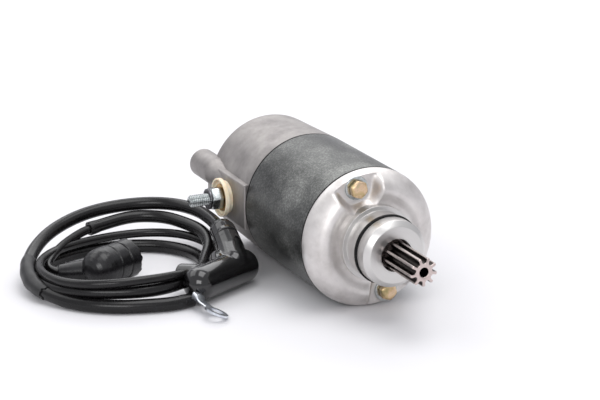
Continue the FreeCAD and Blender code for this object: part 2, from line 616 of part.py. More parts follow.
node("terminal_stud", on_stud("TerminalStud", [
    ("stud_head_inner", "0"), ("stud_head_inner", "stud_head_radius"),
    ("stud_head_outer", "stud_head_radius"), ("stud_head_outer", "stud_shank"),
    ("lock_washer_end", "stud_shank"), ("lock_washer_end", "stud_radius"),
    ("stud_tip - stud_chamfer", "stud_radius"), ("stud_tip", "stud_radius - stud_chamfer"),
    ("stud_tip", "0")]))
node("inner_insulator", on_stud("InnerInsulator", [
    ("stud_head_outer", "stud_radius"), ("stud_head_outer", "inner_flange_radius"),
    ("inner_flange_end", "inner_flange_radius"), ("inner_flange_end", "sleeve_radius"),
    ("pad_face", "sleeve_radius"), ("pad_face", "stud_radius")]))
node("terminal_o_ring", torus("TerminalRing", "terminal_ring_centre", "terminal_ring_section", (
    "stud_plane", "-pad_face - terminal_ring_section", "0"), SIDE))
node("outer_insulator", on_stud("OuterInsulator", [
    ("pad_face", "sleeve_radius"), ("pad_face", "collar_out_radius"),
    ("collar_out_end", "collar_out_radius"), ("collar_out_end", "flange_radius"),
    ("flange_end", "flange_radius"), ("flange_end", "recess_radius"),
    ("recess_floor", "recess_radius"), ("recess_floor", "stud_radius"),
    ("terminal_ring_pocket + 0.15", "stud_radius"),
    ("terminal_ring_pocket + 0.15", "sleeve_radius")]))
node("terminal_washer", on_stud("TerminalWasher", [
    ("recess_floor", "stud_radius"), ("recess_floor", "washer_radius"),
    ("washer_end", "washer_radius"), ("washer_end", "stud_radius")]))


def hexagon(name, flats, height, base, along, turn=0.0):
    """A hexagonal block across flats."""
    block = doc.addObject("Part::Prism", name)
    block.Polygon = 6
    bind(block, Circumradius=f"{flats} / 2 / cos(30deg)", Height=height)
    return place(block, base, along, turn)


nut_hexagon = hexagon("NutHexagon", "nut_flats", "nut_end - washer_end",
                      ("stud_plane", "-washer_end", "0"), SIDE, 20)
nut_turned = on_stud("NutTurned", [
    ("washer_end", "0"), ("washer_end", "nut_flats / 2"),
    ("washer_end + 0.5", "nut_flats / 2 + 0.87"), ("nut_end - 0.5", "nut_flats / 2 + 0.87"),
    ("nut_end", "nut_flats / 2"), ("nut_end", "0")])
node("terminal_nut", cut("TerminalNut", common("NutBlank", [nut_hexagon, nut_turned]), cylinder(
    "NutBore", "stud_shank", "nut_end - washer_end + 2", ("stud_plane", "-washer_end + 1", "0"),
    SIDE)))
lock_ring = on_stud("LockRing", [
    ("lock_washer_start", "stud_radius + 0.05"), ("lock_washer_start", "lock_washer_radius"),
    ("lock_washer_end", "lock_washer_radius"), ("lock_washer_end", "stud_radius + 0.05")])
node("lock_washer", cut("LockWasher", lock_ring, box(
    "LockSplit", ("stud_plane - lock_washer_gap_half", "-lock_washer_end - 1", "0"),
    ("2 * lock_washer_gap_half", "4", "lock_washer_radius + 1"))))

# ---- through bolts with their washers and seals ----

bolts = []
bolt_washers = []
bolt_rings = []
for index, turn in enumerate(BOLT_TURNS):
    spot = off_axis("bolt_circle", f"bolt_angle + {turn}")
    seat_plane = "bolt_seat + bolt_washer_thick"
    head = common(f"Head{index}", [
        hexagon(f"HeadHexagon{index}", "bolt_head_flats", "bolt_head_high", (seat_plane,) + spot,
                OUT, 12),
        fuse(f"HeadTurned{index}", [
            cylinder(f"HeadRound{index}", "bolt_head_flats / 2 + 0.7", "bolt_head_high - 0.7",
                     (seat_plane,) + spot, OUT),
            cone(f"HeadChamfer{index}", "bolt_head_flats / 2 + 0.7", "bolt_head_flats / 2 - 0.4",
                 "0.7", (seat_plane + " + bolt_head_high - 0.7",) + spot, OUT)])])
    shank = cylinder(f"Shank{index}", "bolt_radius", f"{seat_plane} - bolt_end",
                     ("bolt_end",) + spot, OUT)
    bolts.append(fuse(f"Bolt{index}", [head, shank]))
    bolt_washers.append(cut(
        f"BoltWasher{index}",
        cylinder(f"WasherDisc{index}", "bolt_washer_radius", "bolt_washer_thick",
                 ("bolt_seat",) + spot, OUT),
        cylinder(f"WasherBore{index}", "bolt_radius + fit_gap", "bolt_washer_thick + 2",
                 ("bolt_seat - 1",) + spot, OUT)))
    bolt_rings.append(torus(f"BoltRing{index}", "bolt_radius + 0.95", "0.75",
                            ("bolt_seat - 0.8",) + spot, OUT))
node("through_bolts", group("ThroughBolts", bolts))
node("through_bolt_washers", group("BoltWashers", bolt_washers))
node("through_bolt_o_rings", group("BoltRings", bolt_rings))

# ---- loose lead: coil, motor boot, relay boot and ring terminal ----


def point(prefix):
    return V(size(prefix + "_x"), size(prefix + "_y"), size(prefix + "_z"))


def limb(name, radius_one, radius_two, start, end):
    """A round limb of a boot from one point to another."""
    direction = end - start
    if radius_one == radius_two:
        thing = bind(doc.addObject("Part::Cylinder", name), Radius=radius_one)
    else:
        thing = bind(doc.addObject("Part::Cone", name), Radius1=radius_one, Radius2=radius_two)
    thing.Height = direction.Length
    thing.Placement = FreeCAD.Placement(start, FreeCAD.Rotation(V(0, 0, 1), direction))
    return thing


def ball_at(name, radius, centre):
    thing = bind(doc.addObject("Part::Sphere", name), Radius=radius)
    thing.Placement.Base = centre
    return thing


boot_left = V(size("boot_left_x"), size("boot_left_y"), size("boot_high"))
boot_right = V(size("boot_right_x"), size("boot_right_y"), size("boot_high"))
cap_closed = V(size("cap_closed_x"), size("cap_closed_y"), size("cap_high"))
cap_open = V(size("cap_open_x"), size("cap_open_y"), size("cap_high"))


def motor_boot(name, extra):
    """The boot's limbs, each thicker by the extra: the boot itself, and the room left for it."""
    return fuse(name, [
        limb(name + "Barrel", "boot_radius" + extra, "boot_radius" + extra, boot_left, boot_right),
        ball_at(name + "LeftEnd", "boot_radius" + extra, boot_left),
        ball_at(name + "RightEnd", "boot_radius" + extra, boot_right),
        limb(name + "Branch", "branch_radius" + extra, "branch_radius" + extra,
             point("branch_root"), point("branch_top")),
        ball_at(name + "BranchEnd", "branch_radius" + extra, point("branch_top")),
        limb(name + "Neck", "neck_radius" + extra, "neck_radius" + extra, point("neck_root"),
             point("neck_tip"))])


node("motor_boot", motor_boot("MotorBoot", ""))

# the coil is one ring whose top slopes down towards the camera's side
coil_disc = cylinder("CoilDisc", "coil_radius", "coil_high", ("coil_x", "coil_y", "-yoke_radius"),
                     (0, 0, 1))
coil_eye = cylinder("CoilEye", "coil_hole", "coil_high + 2",
                    ("coil_x", "coil_y", "-yoke_radius - 1"), (0, 0, 1))
coil_lid = doc.addObject("Part::Box", "CoilLid")
bind(coil_lid, Length="4 * coil_radius", Width="4 * coil_radius", Height="coil_high")
slope = math.degrees(math.atan2(size("coil_high") - size("coil_low"), 2 * size("coil_radius")))
tilt = FreeCAD.Rotation(V(0, 0, 1), size("coil_high_side")).multiply(
    FreeCAD.Rotation(V(0, 1, 0), -slope))
lid_corner = V(-2 * size("coil_radius"), -2 * size("coil_radius"), 0)
lid_middle = V(size("coil_x"), size("coil_y"),
               -size("yoke_radius") + (size("coil_high") + size("coil_low")) / 2)
coil_lid.Placement = FreeCAD.Placement(lid_middle + tilt.multVec(lid_corner), tilt)
node("lead_coil", cut("LeadCoil", coil_disc, fuse("CoilTrims", [
    coil_eye, coil_lid, motor_boot("BootRoom", " + coil_clearance")])))

node("relay_boot", fuse("RelayBoot", [
    limb("CapBarrel", "cap_radius", "cap_radius", cap_closed, cap_open),
    ball_at("CapDome", "cap_radius", cap_closed),
    limb("CapNeck", "cap_neck_radius + 2", "cap_neck_radius", cap_closed, point("cap_neck"))]))

lug_disc = cylinder("LugDisc", "lug_ring_radius", "lug_thick", ("lug_x", "lug_y", "lug_z"),
                    (0, 0, 1))
lug_tail = box("LugTail", ("lug_x - lug_barrel_length", "lug_y - lug_barrel", "lug_z"),
               ("lug_barrel_length", "2 * lug_barrel", "lug_thick"))
lug_eye = cylinder("LugEye", "lug_ring_hole", "lug_thick + 2", ("lug_x", "lug_y", "lug_z - 1"),
                   (0, 0, 1))
node("ring_terminal", cut("RingTerminal", fuse("LugBlank", [lug_disc, lug_tail]), lug_eye))

# ---- check and export ----

doc.recompute()
for thing in doc.Objects:
    if any(state in ("Invalid", "Error") for state in thing.State):
        raise RuntimeError(f"{thing.Name} failed: {thing.State}")
os.makedirs("parts", exist_ok=True)
for thing in nodes:
    shape = thing.Shape
    if shape.isNull() or not shape.isValid() or not shape.Solids:
        raise RuntimeError(thing.Label + " has no valid solid")
    shape.exportStep(f"parts/{thing.Label}.step")
    print(f"{thing.Label}: {len(shape.Solids)} solids, {shape.Volume / 1000:.2f} cm3")
print(len(nodes), "nodes")
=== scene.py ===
import math

import bmesh
import bpy
import numpy as np
from mathutils import Matrix, Vector


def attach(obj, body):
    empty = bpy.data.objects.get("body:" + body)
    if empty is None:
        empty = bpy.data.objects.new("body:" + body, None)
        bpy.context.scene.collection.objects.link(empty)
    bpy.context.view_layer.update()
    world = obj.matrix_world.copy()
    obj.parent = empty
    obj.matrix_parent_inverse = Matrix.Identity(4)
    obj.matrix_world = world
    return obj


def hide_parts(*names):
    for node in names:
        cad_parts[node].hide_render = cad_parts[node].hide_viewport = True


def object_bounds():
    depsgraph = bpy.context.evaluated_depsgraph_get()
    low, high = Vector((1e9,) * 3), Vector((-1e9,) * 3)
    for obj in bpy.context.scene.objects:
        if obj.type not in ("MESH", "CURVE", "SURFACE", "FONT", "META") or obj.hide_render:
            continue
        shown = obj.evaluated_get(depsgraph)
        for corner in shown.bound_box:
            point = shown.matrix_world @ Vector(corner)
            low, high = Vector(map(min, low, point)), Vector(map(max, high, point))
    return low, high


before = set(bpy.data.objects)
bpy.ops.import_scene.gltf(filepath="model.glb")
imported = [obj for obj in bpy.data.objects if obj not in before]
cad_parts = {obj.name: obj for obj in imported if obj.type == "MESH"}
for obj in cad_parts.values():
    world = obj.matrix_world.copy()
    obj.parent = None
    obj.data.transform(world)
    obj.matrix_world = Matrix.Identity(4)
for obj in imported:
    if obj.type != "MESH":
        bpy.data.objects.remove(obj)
cad_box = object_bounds()

# ---------------------------------------------------------------------------
# Camera: a long portrait lens, looking down at the nose and the terminal side
# from just above the bench, so the barrel and the pinion are foreshortened.
camera_lens = bpy.data.cameras.new("bench_camera")
camera_lens.lens = 123.74
camera_lens.sensor_width = 36
camera_lens.clip_end = 20
camera = bpy.data.objects.new("bench_camera", camera_lens)
bpy.context.scene.collection.objects.link(camera)
camera_stand = Vector((0.7768, -0.4076, 0.2969))
camera_aim = Vector((-0.0815, 0.0, -0.0027))
camera.location = camera_stand
camera.rotation_euler = (camera_aim - camera_stand).to_track_quat("-Z", "Y").to_euler()
bpy.context.scene.camera = camera

# ---------------------------------------------------------------------------
# Bench: a roll of matt white paper, flat under the motor and curving up well
# behind it. It isn't part of the motor.
BENCH = cad_box[0][2]


def linear(code):
    """A colour written as sRGB hex, as the shader's linear colour."""
    parts = [int(code[i:i + 2], 16) / 255 for i in (1, 3, 5)]
    return [p / 12.92 if p <= 0.04045 else ((p + 0.055) / 1.055) ** 2.4 for p in parts] + [1.0]


def add(tree, kind, feeds=None, into=None, stops=(), **settings):
    """Add a node with its settings, feed its inputs and lead its first output into a socket."""
    made = tree.nodes.new(kind)
    for name, value in settings.items():
        setattr(made, name, value)
    for name, value in (feeds or {}).items():
        if isinstance(value, bpy.types.NodeSocket):
            tree.links.new(value, made.inputs[name])
        else:
            made.inputs[name].default_value = value
    for i, (where, shade) in enumerate(stops):
        band = made.color_ramp.elements
        stop = band[i] if i < len(band) else band.new(1.0)
        stop.position = where
        stop.color = linear(shade) if isinstance(shade, str) else [shade] * 3 + [1.0]
    if into:
        tree.links.new(made.outputs[0], into)
    return made


def finish(name, colour, **values):
    """A new material: its node tree, its shader and the piece's own coordinates."""
    made = bpy.data.materials.new(name)
    made.use_nodes = True
    tree = made.node_tree
    shader = tree.nodes["Principled BSDF"]
    shader.inputs["Base Color"].default_value = linear(colour)
    for socket, value in values.items():
        shader.inputs[socket.replace("_", " ")].default_value = value
    place = add(tree, "ShaderNodeTexCoord").outputs["Object"]
    return made, tree, shader, place


def layered(name, colour, tone=None, gloss=None, grain=None, tone_stretch=None, **values):
    """A material whose tone, gloss and grain follow noise: each is a lump size in mm, the
    noise's detail and roughness, and its colour stops or its depth in mm."""
    made, tree, shader, place = finish(name, colour, **values)
    for socket, layer in (("Base Color", tone), ("Roughness", gloss), ("Normal", grain)):
        if layer is None:
            continue
        lump_mm, detail, rough, result = layer
        spot = place
        if tone_stretch and socket == "Base Color":
            spot = add(tree, "ShaderNodeMapping", {"Vector": place, "Scale": tone_stretch}).outputs[0]
        noise = add(tree, "ShaderNodeTexNoise", {"Vector": spot, "Scale": 1000 / lump_mm,
            "Detail": detail, "Roughness": rough}).outputs[0]
        if socket == "Normal":
            add(tree, "ShaderNodeBump", {"Height": noise, "Distance": result / 1000},
                into=shader.inputs[socket])
        else:
            add(tree, "ShaderNodeValToRGB", {"Fac": noise}, into=shader.inputs[socket],
                stops=result)
    return made


paper = layered("matt_white_paper", "#dddcde", grain=(1.5, 3, 0.5, 0.01), Roughness=0.85)
roll = bmesh.new()
run = [(-1.6 * math.cos(a) - 0.9, 0.0, 1.6 - 1.6 * math.sin(a))
       for a in np.linspace(0.0, math.pi / 2, 24)] + [(3.0, 0.0, 0.0)]
toward = Matrix.Rotation(math.radians(-25.4), 4, "Z")
edges_of_roll = [[roll.verts.new(toward @ Vector((x, side, z + BENCH))) for x, _, z in run]
                 for side in (-4.0, 4.0)]
for i in range(len(run) - 1):
    roll.faces.new((edges_of_roll[0][i], edges_of_roll[0][i + 1],
                    edges_of_roll[1][i + 1], edges_of_roll[1][i])).smooth = True
bench_mesh = bpy.data.meshes.new("paper_roll")
roll.to_mesh(bench_mesh)
bench = bpy.data.objects.new("paper_roll", bench_mesh)
bench_mesh.materials.append(paper)
bpy.context.scene.collection.objects.link(bench)

# ---------------------------------------------------------------------------
# Lights: a large soft box overhead, weaker ones to the left and low behind, which
# draw the bright bands along the metal, and a weak fill from the camera's side.
room = bpy.data.worlds.new("dim_room")
room.use_nodes = True
room.node_tree.nodes["Background"].inputs["Color"].default_value = (0.95, 0.96, 1.0, 1.0)
room.node_tree.nodes["Background"].inputs["Strength"].default_value = 0.74
bpy.context.scene.world = room
bpy.context.scene.view_settings.view_transform = "Standard"
for name, stand, wide, high, watts in (
        ("left_soft_box", (-0.9, -0.75, 1.25), 1.3, 0.9, 5),
        ("top_soft_box", (0.1, 0.15, 1.5), 1.3, 0.9, 11),
        ("behind_soft_box", (-0.85, 0.4, 0.75), 1.3, 0.6, 4.5),
        ("front_fill", (1.1, -0.9, 0.7), 0.9, 0.6, 7)):
    box_light = bpy.data.lights.new(name, "AREA")
    box_light.shape = "RECTANGLE"
    box_light.size = wide
    box_light.size_y = high
    box_light.energy = watts
    lamp = bpy.data.objects.new(name, box_light)
    lamp.location = stand
    lamp.rotation_euler = (Vector((-0.06, -0.03, 0.0)) - lamp.location).to_track_quat(
        "-Z", "Y").to_euler()
    bpy.context.scene.collection.objects.link(lamp)

# ---------------------------------------------------------------------------
# Yoke: the drawn steel tube that holds the field magnets. It is zinc plated and
# passivated, and the two covers meet its ends with a small chamfer.
AXIS = Matrix.Identity(4)


def eased(section, round_mm):
    """The closed section with each corner rounded off a little."""
    soft = []
    count = len(section)
    for i in range(count):
        here = Vector(section[i])
        before = Vector(section[i - 1]) - here
        after = Vector(section[(i + 1) % count]) - here
        reach = min(round_mm, before.length * 0.45, after.length * 0.45)
        if reach < 0.02:
            soft.append(tuple(here))
            continue
        start = here + before.normalized() * reach
        end = here + after.normalized() * reach
        for t in (0.0, 0.25, 0.5, 0.75, 1.0):
            soft.append(tuple(start * (1 - t) ** 2 + here * (2 * t * (1 - t)) + end * t ** 2))
    return soft


def settle(name, shell, materials, crease=40):
    """Turn the worked shell into a finished piece whose hard edges stay crisp."""
    bmesh.ops.remove_doubles(shell, verts=shell.verts, dist=1e-6)
    bmesh.ops.recalc_face_normals(shell, faces=shell.faces)
    for face in shell.faces:
        face.smooth = True
    for edge in shell.edges:
        edge.smooth = len(edge.link_faces) == 2 and edge.calc_face_angle() < math.radians(crease)
    data = bpy.data.meshes.new(name)
    shell.to_mesh(data)
    shell.free()
    for material in materials:
        data.materials.append(material)
    made = bpy.data.objects.new(name, data)
    bpy.context.scene.collection.objects.link(made)
    return made


def turned(shell, section, steps=192, axis=AXIS, finish_index=0):
    """Turn a closed section of (along, radius) in millimetres about the axis's own X."""
    rows = []
    for along, radius in section:
        if radius < 1e-4:
            rows.append([shell.verts.new(axis @ Vector((along / 1000, 0, 0)))] * steps)
            continue
        rows.append([shell.verts.new(axis @ Vector((
            along / 1000, -radius * math.sin(a) / 1000, radius * math.cos(a) / 1000)))
            for a in np.linspace(0, 2 * math.pi, steps, endpoint=False)])
    for i, row in enumerate(rows):
        after = rows[(i + 1) % len(rows)]
        for k in range(steps):
            m = (k + 1) % steps
            corners = list(dict.fromkeys((row[k], after[k], after[m], row[m])))
            if len(corners) > 2:
                shell.faces.new(corners).material_index = finish_index


plated, plated_tree, plated_shader, plated_place = finish(
    "zinc_plated_steel_passivated", "#6f716e", Metallic=1.0, Roughness=0.42)
# dull bluish-green passivate over rolled steel: cloudy patches a few cm across, pale zinc flecks
cloud = add(plated_tree, "ShaderNodeTexNoise", {"Vector": add(plated_tree, "ShaderNodeMapping",
    {"Vector": plated_place, "Scale": (0.7, 1.0, 1.0)}).outputs[0], "Scale": 1000 / 16,
    "Detail": 5, "Roughness": 0.62}).outputs[0]
fleck = add(plated_tree, "ShaderNodeTexNoise", {"Vector": plated_place, "Scale": 1000 / 0.9,
    "Detail": 3, "Roughness": 0.6}).outputs[0]
shades = add(plated_tree, "ShaderNodeMix", {0: 0.5, 6: add(plated_tree, "ShaderNodeValToRGB",
    {"Fac": cloud}, stops=[(0.3, "#575857"), (0.5, "#757674"), (0.7, "#9a9b98")]).outputs[0],
    7: add(plated_tree, "ShaderNodeValToRGB", {"Fac": fleck}, stops=[(0.38, "#4e4e4e"),
    (0.5, "#7f7f7f"), (0.62, "#c4c4c4")]).outputs[0]}, data_type="RGBA", blend_type="OVERLAY")
plated_tree.links.new(shades.outputs[2], plated_shader.inputs["Base Color"])
add(plated_tree, "ShaderNodeValToRGB", {"Fac": cloud}, into=plated_shader.inputs["Roughness"],
    stops=[(0.35, 0.34), (0.65, 0.5)])
add(plated_tree, "ShaderNodeBump", {"Height": add(plated_tree, "ShaderNodeTexNoise",
    {"Vector": plated_place, "Scale": 1000 / 0.5, "Detail": 3}).outputs[0],
    "Distance": 0.02 / 1000, "Strength": 0.9}, into=plated_shader.inputs["Normal"])
shell = bmesh.new()
turned(shell, eased([(-72.6, 29.5), (-12.6, 29.5), (-12.6, 32.5), (-72.6, 32.5)], 0.3), 256)
yoke = settle("yoke", shell, [plated])
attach(yoke, "housing")
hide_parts("yoke_tube")

# ---------------------------------------------------------------------------
# Seam rings: moulded black nitrile, squeezed between the yoke and each cover
# so that only a fine black line shows.
# carbon-filled rubber: deep black, matt, with a faint moulding grain
nitrile = layered(
    "moulded_nitrile_rubber", "#080808", gloss=(2, 3, 0.5, [(0.3, 0.5), (0.7, 0.68)]),
    grain=(0.4, 3, 0.5, 0.01), Roughness=0.6, Specular_IOR_Level=0.2)
for name in ("through_bolt_o_rings", "terminal_o_ring"):
    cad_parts[name].material_slots[0].material = nitrile
for name, behind, ahead in (("front_seam_ring", -12.6, -11.7), ("rear_seam_ring", -73.5, -72.6)):
    shell = bmesh.new()
    turned(shell, eased([(behind, 29.7), (ahead, 29.7), (ahead, 32.45), (behind, 32.45)], 0.15), 256)
    seam = settle(name + "_nitrile", shell, [nitrile])
    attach(seam, "housing")
    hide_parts(name)

# ---------------------------------------------------------------------------
# Front cover: an aluminium die casting, tumbled to a soft satin. Its domed face
# is hollowed round both bolts, and the nose is turned bright to locate it.
# tumbled aluminium: pale warm grey, satin, finely pitted, with cloudy darker flow marks
cast = layered(
    "tumbled_cast_aluminium", "#bdb9b7",
    tone=(11, 5, 0.6, [(0.3, "#c4c0bd"), (0.52, "#d8d4d2"), (0.75, "#e6e3e1")]),
    gloss=(4, 4, 0.5, [(0.3, 0.4), (0.7, 0.54)]), grain=(0.45, 4, 0.6, 0.035), Metallic=1.0,
    Roughness=0.46)

machined, machined_tree, machined_shader, machined_place = finish(
    "turned_aluminium", "#cfcdcb", Metallic=1.0, Roughness=0.36)
# turned aluminium: bright, with feed lines round the axis, drawn 0.35 mm apart so that they show
apart = add(machined_tree, "ShaderNodeSeparateXYZ", {"Vector": machined_place})
flat_part = add(machined_tree, "ShaderNodeCombineXYZ", {
    "Y": apart.outputs["Y"], "Z": apart.outputs["Z"]})
from_axis = add(machined_tree, "ShaderNodeVectorMath", {0: flat_part.outputs[0]},
                operation="LENGTH")
lines_at = add(machined_tree, "ShaderNodeCombineXYZ", {
    "X": apart.outputs["X"], "Y": from_axis.outputs["Value"]})
feed = add(machined_tree, "ShaderNodeTexNoise", {"Vector": lines_at.outputs[0],
    "Scale": 1000 / 0.35, "Detail": 1}).outputs[0]
add(machined_tree, "ShaderNodeBump", {"Height": feed, "Distance": 0.005 / 1000, "Strength": 0.7},
    into=machined_shader.inputs["Normal"])
add(machined_tree, "ShaderNodeValToRGB", {"Fac": feed}, into=machined_shader.inputs["Roughness"],
    stops=[(0.3, 0.31), (0.7, 0.41)])

BOLT_TURN = math.radians(17)
dome = np.array([(32.5, -10.8), (32.42, -9.9), (32.0, -8.6), (31.2, -7.0), (30.2, -5.4),
                 (29.1, -3.9), (27.9, -2.6), (26.4, -1.55), (24.6, -1.0), (22.8, -1.2),
                 (21.3, -1.85), (20.0, -2.5), (18.9, -2.8), (17.6, -2.85)])
along_dome = np.concatenate([[0], np.cumsum(np.hypot(*np.diff(dome, axis=0).T))])
steps_in = np.linspace(0, along_dome[-1], 96)
dome_r = np.interp(steps_in, along_dome, dome[:, 0])
dome_x = np.interp(steps_in, along_dome, dome[:, 1])
for _ in range(12):
    dome_r[1:-1] = (dome_r[:-2] + 2 * dome_r[1:-1] + dome_r[2:]) / 4
    dome_x[1:-1] = (dome_x[:-2] + 2 * dome_x[1:-1] + dome_x[2:]) / 4


FLOOR_HEIGHT = -7.0
FLOOR_END = 19.9
FLOOR_HALF_WIDTH = 4.4
WALL_WIDTH = 4.2


def hollowed(x, radius, turn):
    """The face's height, let down to a flat floor round whichever bolt is nearer."""
    lowest = x
    for bolt in (BOLT_TURN, BOLT_TURN + math.pi):
        out = radius * math.cos(turn - bolt)
        side = abs(radius * math.sin(turn - bolt))
        if out < 8:
            continue
        # distance outside the hollow's flat floor: a U round the bolt, wider towards the rim
        walls = (FLOOR_END - out, (side - FLOOR_HALF_WIDTH + FLOOR_END - out) * 0.707,
                 (side - 6.5) * 0.934 - (out - 22.4) * 0.357)
        gap = math.log(sum(math.exp(1.6 * wall) for wall in walls)) / 1.6
        rise = min(max(gap / WALL_WIDTH, 0.0), 1.0)
        rise = rise * rise * (3 - 2 * rise)
        floor_x = min(FLOOR_HEIGHT, x)
        lowest = min(lowest, floor_x + (x - floor_x) * rise)
    return lowest


shell = bmesh.new()
AROUND = 432
turns = np.linspace(0, 2 * math.pi, AROUND, endpoint=False)
rows = []


def row_at(x, radius, worn=False):
    rows.append([shell.verts.new((
        (hollowed(x, radius, a) if worn else x) / 1000,
        -radius * math.sin(a) / 1000, radius * math.cos(a) / 1000)) for a in turns])


for x, radius in ((-15.0, 29.4), (-11.7, 29.4), (-11.7, 32.15), (-11.6, 32.35), (-11.35, 32.5)):
    row_at(x, radius)
for x, radius in zip(dome_x, dome_r):
    row_at(x, radius, worn=True)
cast_rows = len(rows)
nose = eased([(-2.85, 17.6), (0.0, 17.6), (0.0, 15.5), (7.45, 15.5), (7.45, 13.45), (9.75, 13.45),
              (9.75, 15.5), (15.6, 15.5), (18.0, 13.1), (18.0, 7.5), (15.0, 7.5)], 0.25)[5:-5]
for x, radius in nose + [(15.0, 7.5), (15.0, 12.0), (-1.0, 12.0), (-1.0, 16.0), (-15.0, 16.0)]:
    row_at(x, radius)
for i, row in enumerate(rows):
    after = rows[(i + 1) % len(rows)]
    for k in range(AROUND):
        m = (k + 1) % AROUND
        shell.faces.new((row[k], after[k], after[m], row[m])).material_index = int(i >= cast_rows - 1)
front_cover = settle("front_cover_casting", shell, [cast, machined], 50)
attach(front_cover, "housing")
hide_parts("front_cover")

# ---------------------------------------------------------------------------
# Nose o-ring: nitrile cord in the nose's groove, standing just proud, wiped
# with oil so that it takes a thin highlight.
shell = bmesh.new()
turned(shell, [(8.6 + 1.25 * math.cos(a) * (1 - 0.12 * math.cos(2 * a)),
                14.75 + 1.45 * math.sin(a)) for a in np.linspace(0, 2 * math.pi, 24, endpoint=False)])
nose_ring = settle("nose_ring_nitrile", shell, [nitrile])
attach(nose_ring, "housing")
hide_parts("nose_o_ring")

# ---------------------------------------------------------------------------
# Rear cover: an aluminium die casting with its as-cast skin, left unturned. The
# terminal pad and the two mounting lugs are cast with it.
# as-cast skin: duller and faintly pink beside the tumbled cover, with soft marbled flow marks
skin = layered(
    "as_cast_aluminium", "#a29a99",
    tone=(13, 6, 0.62, [(0.28, "#8d8988"), (0.5, "#9f9b99"), (0.74, "#b2aeab")]),
    gloss=(5, 4, 0.5, [(0.3, 0.46), (0.7, 0.6)]), grain=(0.6, 4, 0.62, 0.04),
    tone_stretch=(1.0, 1.3, 0.8), Metallic=1.0, Roughness=0.52)
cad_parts["rear_cover"].material_slots[0].material = skin

# ---------------------------------------------------------------------------
# Through bolts: two M5 hexagon bolts, yellow zinc plated, with plain washers.
# They hold both covers against the yoke.


HEXAGON_STEPS = 96


def hexagon_head(shell, flats, low, high, bore, crown_share=0.94):
    """A hexagon with a turned top and bottom edge, standing along Z, in millimetres."""
    around = [math.radians(30) + 2 * math.pi * k / HEXAGON_STEPS for k in range(HEXAGON_STEPS)]
    reach = []
    for a in around:
        off = (a + math.pi / 6) % (math.pi / 3) - math.pi / 6
        reach.append(min(flats / 2 / math.cos(off), flats / 2 * 1.14))
    crown = flats / 2 * crown_share
    slope = math.tan(math.radians(30))

    def rim(height, way, shrink=0.0):
        return [shell.verts.new((
            (r - shrink) * math.cos(a), (r - shrink) * math.sin(a),
            height - way * max(0.0, r - shrink - crown) * slope))
            for a, r in zip(around, reach)]

    def level(height, radius):
        return [shell.verts.new((radius * math.cos(a), radius * math.sin(a), height))
                for a in around]

    rows = [level(low, bore), level(low, crown), rim(low, -1, 0.06), rim(low + 0.06, -1),
            rim(high - 0.12, 1), rim(high, 1, 0.1), level(high, crown), level(high, crown - 0.25)]
    if bore > 0.5:
        rows += [level(high, bore + 0.35), level(high - 0.35, bore), level(low + 0.2, bore)]
    else:
        rows += [level(high - 0.12, crown * 0.7), level(high - 0.16, 0.02)]
    count = len(rows)
    for i in range(count):
        if i == count - 1 and bore < 0.5:
            shell.faces.new(rows[-1])
            shell.faces.new(rows[0])
            break
        after = rows[(i + 1) % count]
        for k in range(HEXAGON_STEPS):
            m = (k + 1) % HEXAGON_STEPS
            shell.faces.new((rows[i][k], rows[i][m], after[m], after[k]))


def scaled_piece(name, shell, materials, move, crease=40):
    """Settle a shell worked in millimetres along Z into its place, in metres."""
    bmesh.ops.transform(shell, matrix=move @ Matrix.Scale(0.001, 4), verts=shell.verts)
    return settle(name, shell, materials, crease)


def baked(name, seed, used=()):
    """The evaluated result as a plain mesh; its seed and templates are thrown away."""
    bpy.context.view_layer.update()
    made = bpy.data.objects.new(name, bpy.data.meshes.new_from_object(
        seed.evaluated_get(bpy.context.evaluated_depsgraph_get())))
    made.data.name = name
    bpy.context.scene.collection.objects.link(made)
    for spent in (seed,) + tuple(used):
        bpy.data.objects.remove(spent)
    return made


def ruled(name, inputs, shape, used=()):
    """A piece made by a Geometry Nodes tree: its named inputs, and the function that shapes it."""
    tree = bpy.data.node_groups.new(name + "_rule", "GeometryNodeTree")
    face = tree.interface
    face.new_socket("Geometry", in_out="INPUT", socket_type="NodeSocketGeometry")
    sockets = {label: face.new_socket(label, in_out="INPUT", socket_type="NodeSocket" + kind).identifier
               for label, kind, _ in inputs}
    face.new_socket("Geometry", in_out="OUTPUT", socket_type="NodeSocketGeometry")
    given = add(tree, "NodeGroupInput").outputs
    real = add(tree, "GeometryNodeRealizeInstances", {0: shape(tree, given)})
    painted = add(tree, "GeometryNodeSetMaterial", {
        "Geometry": real.outputs[0], "Material": given["Material"]})
    add(tree, "NodeGroupOutput", {"Geometry": painted.outputs[0]})
    seed = bpy.data.objects.new(name + "_seed", bpy.data.meshes.new(name + "_seed"))
    bpy.context.scene.collection.objects.link(seed)
    rule = seed.modifiers.new("rule", "NODES")
    rule.node_group = tree
    for label, _, value in inputs:
        rule[sockets[label]] = value
    return baked(name, seed, used)


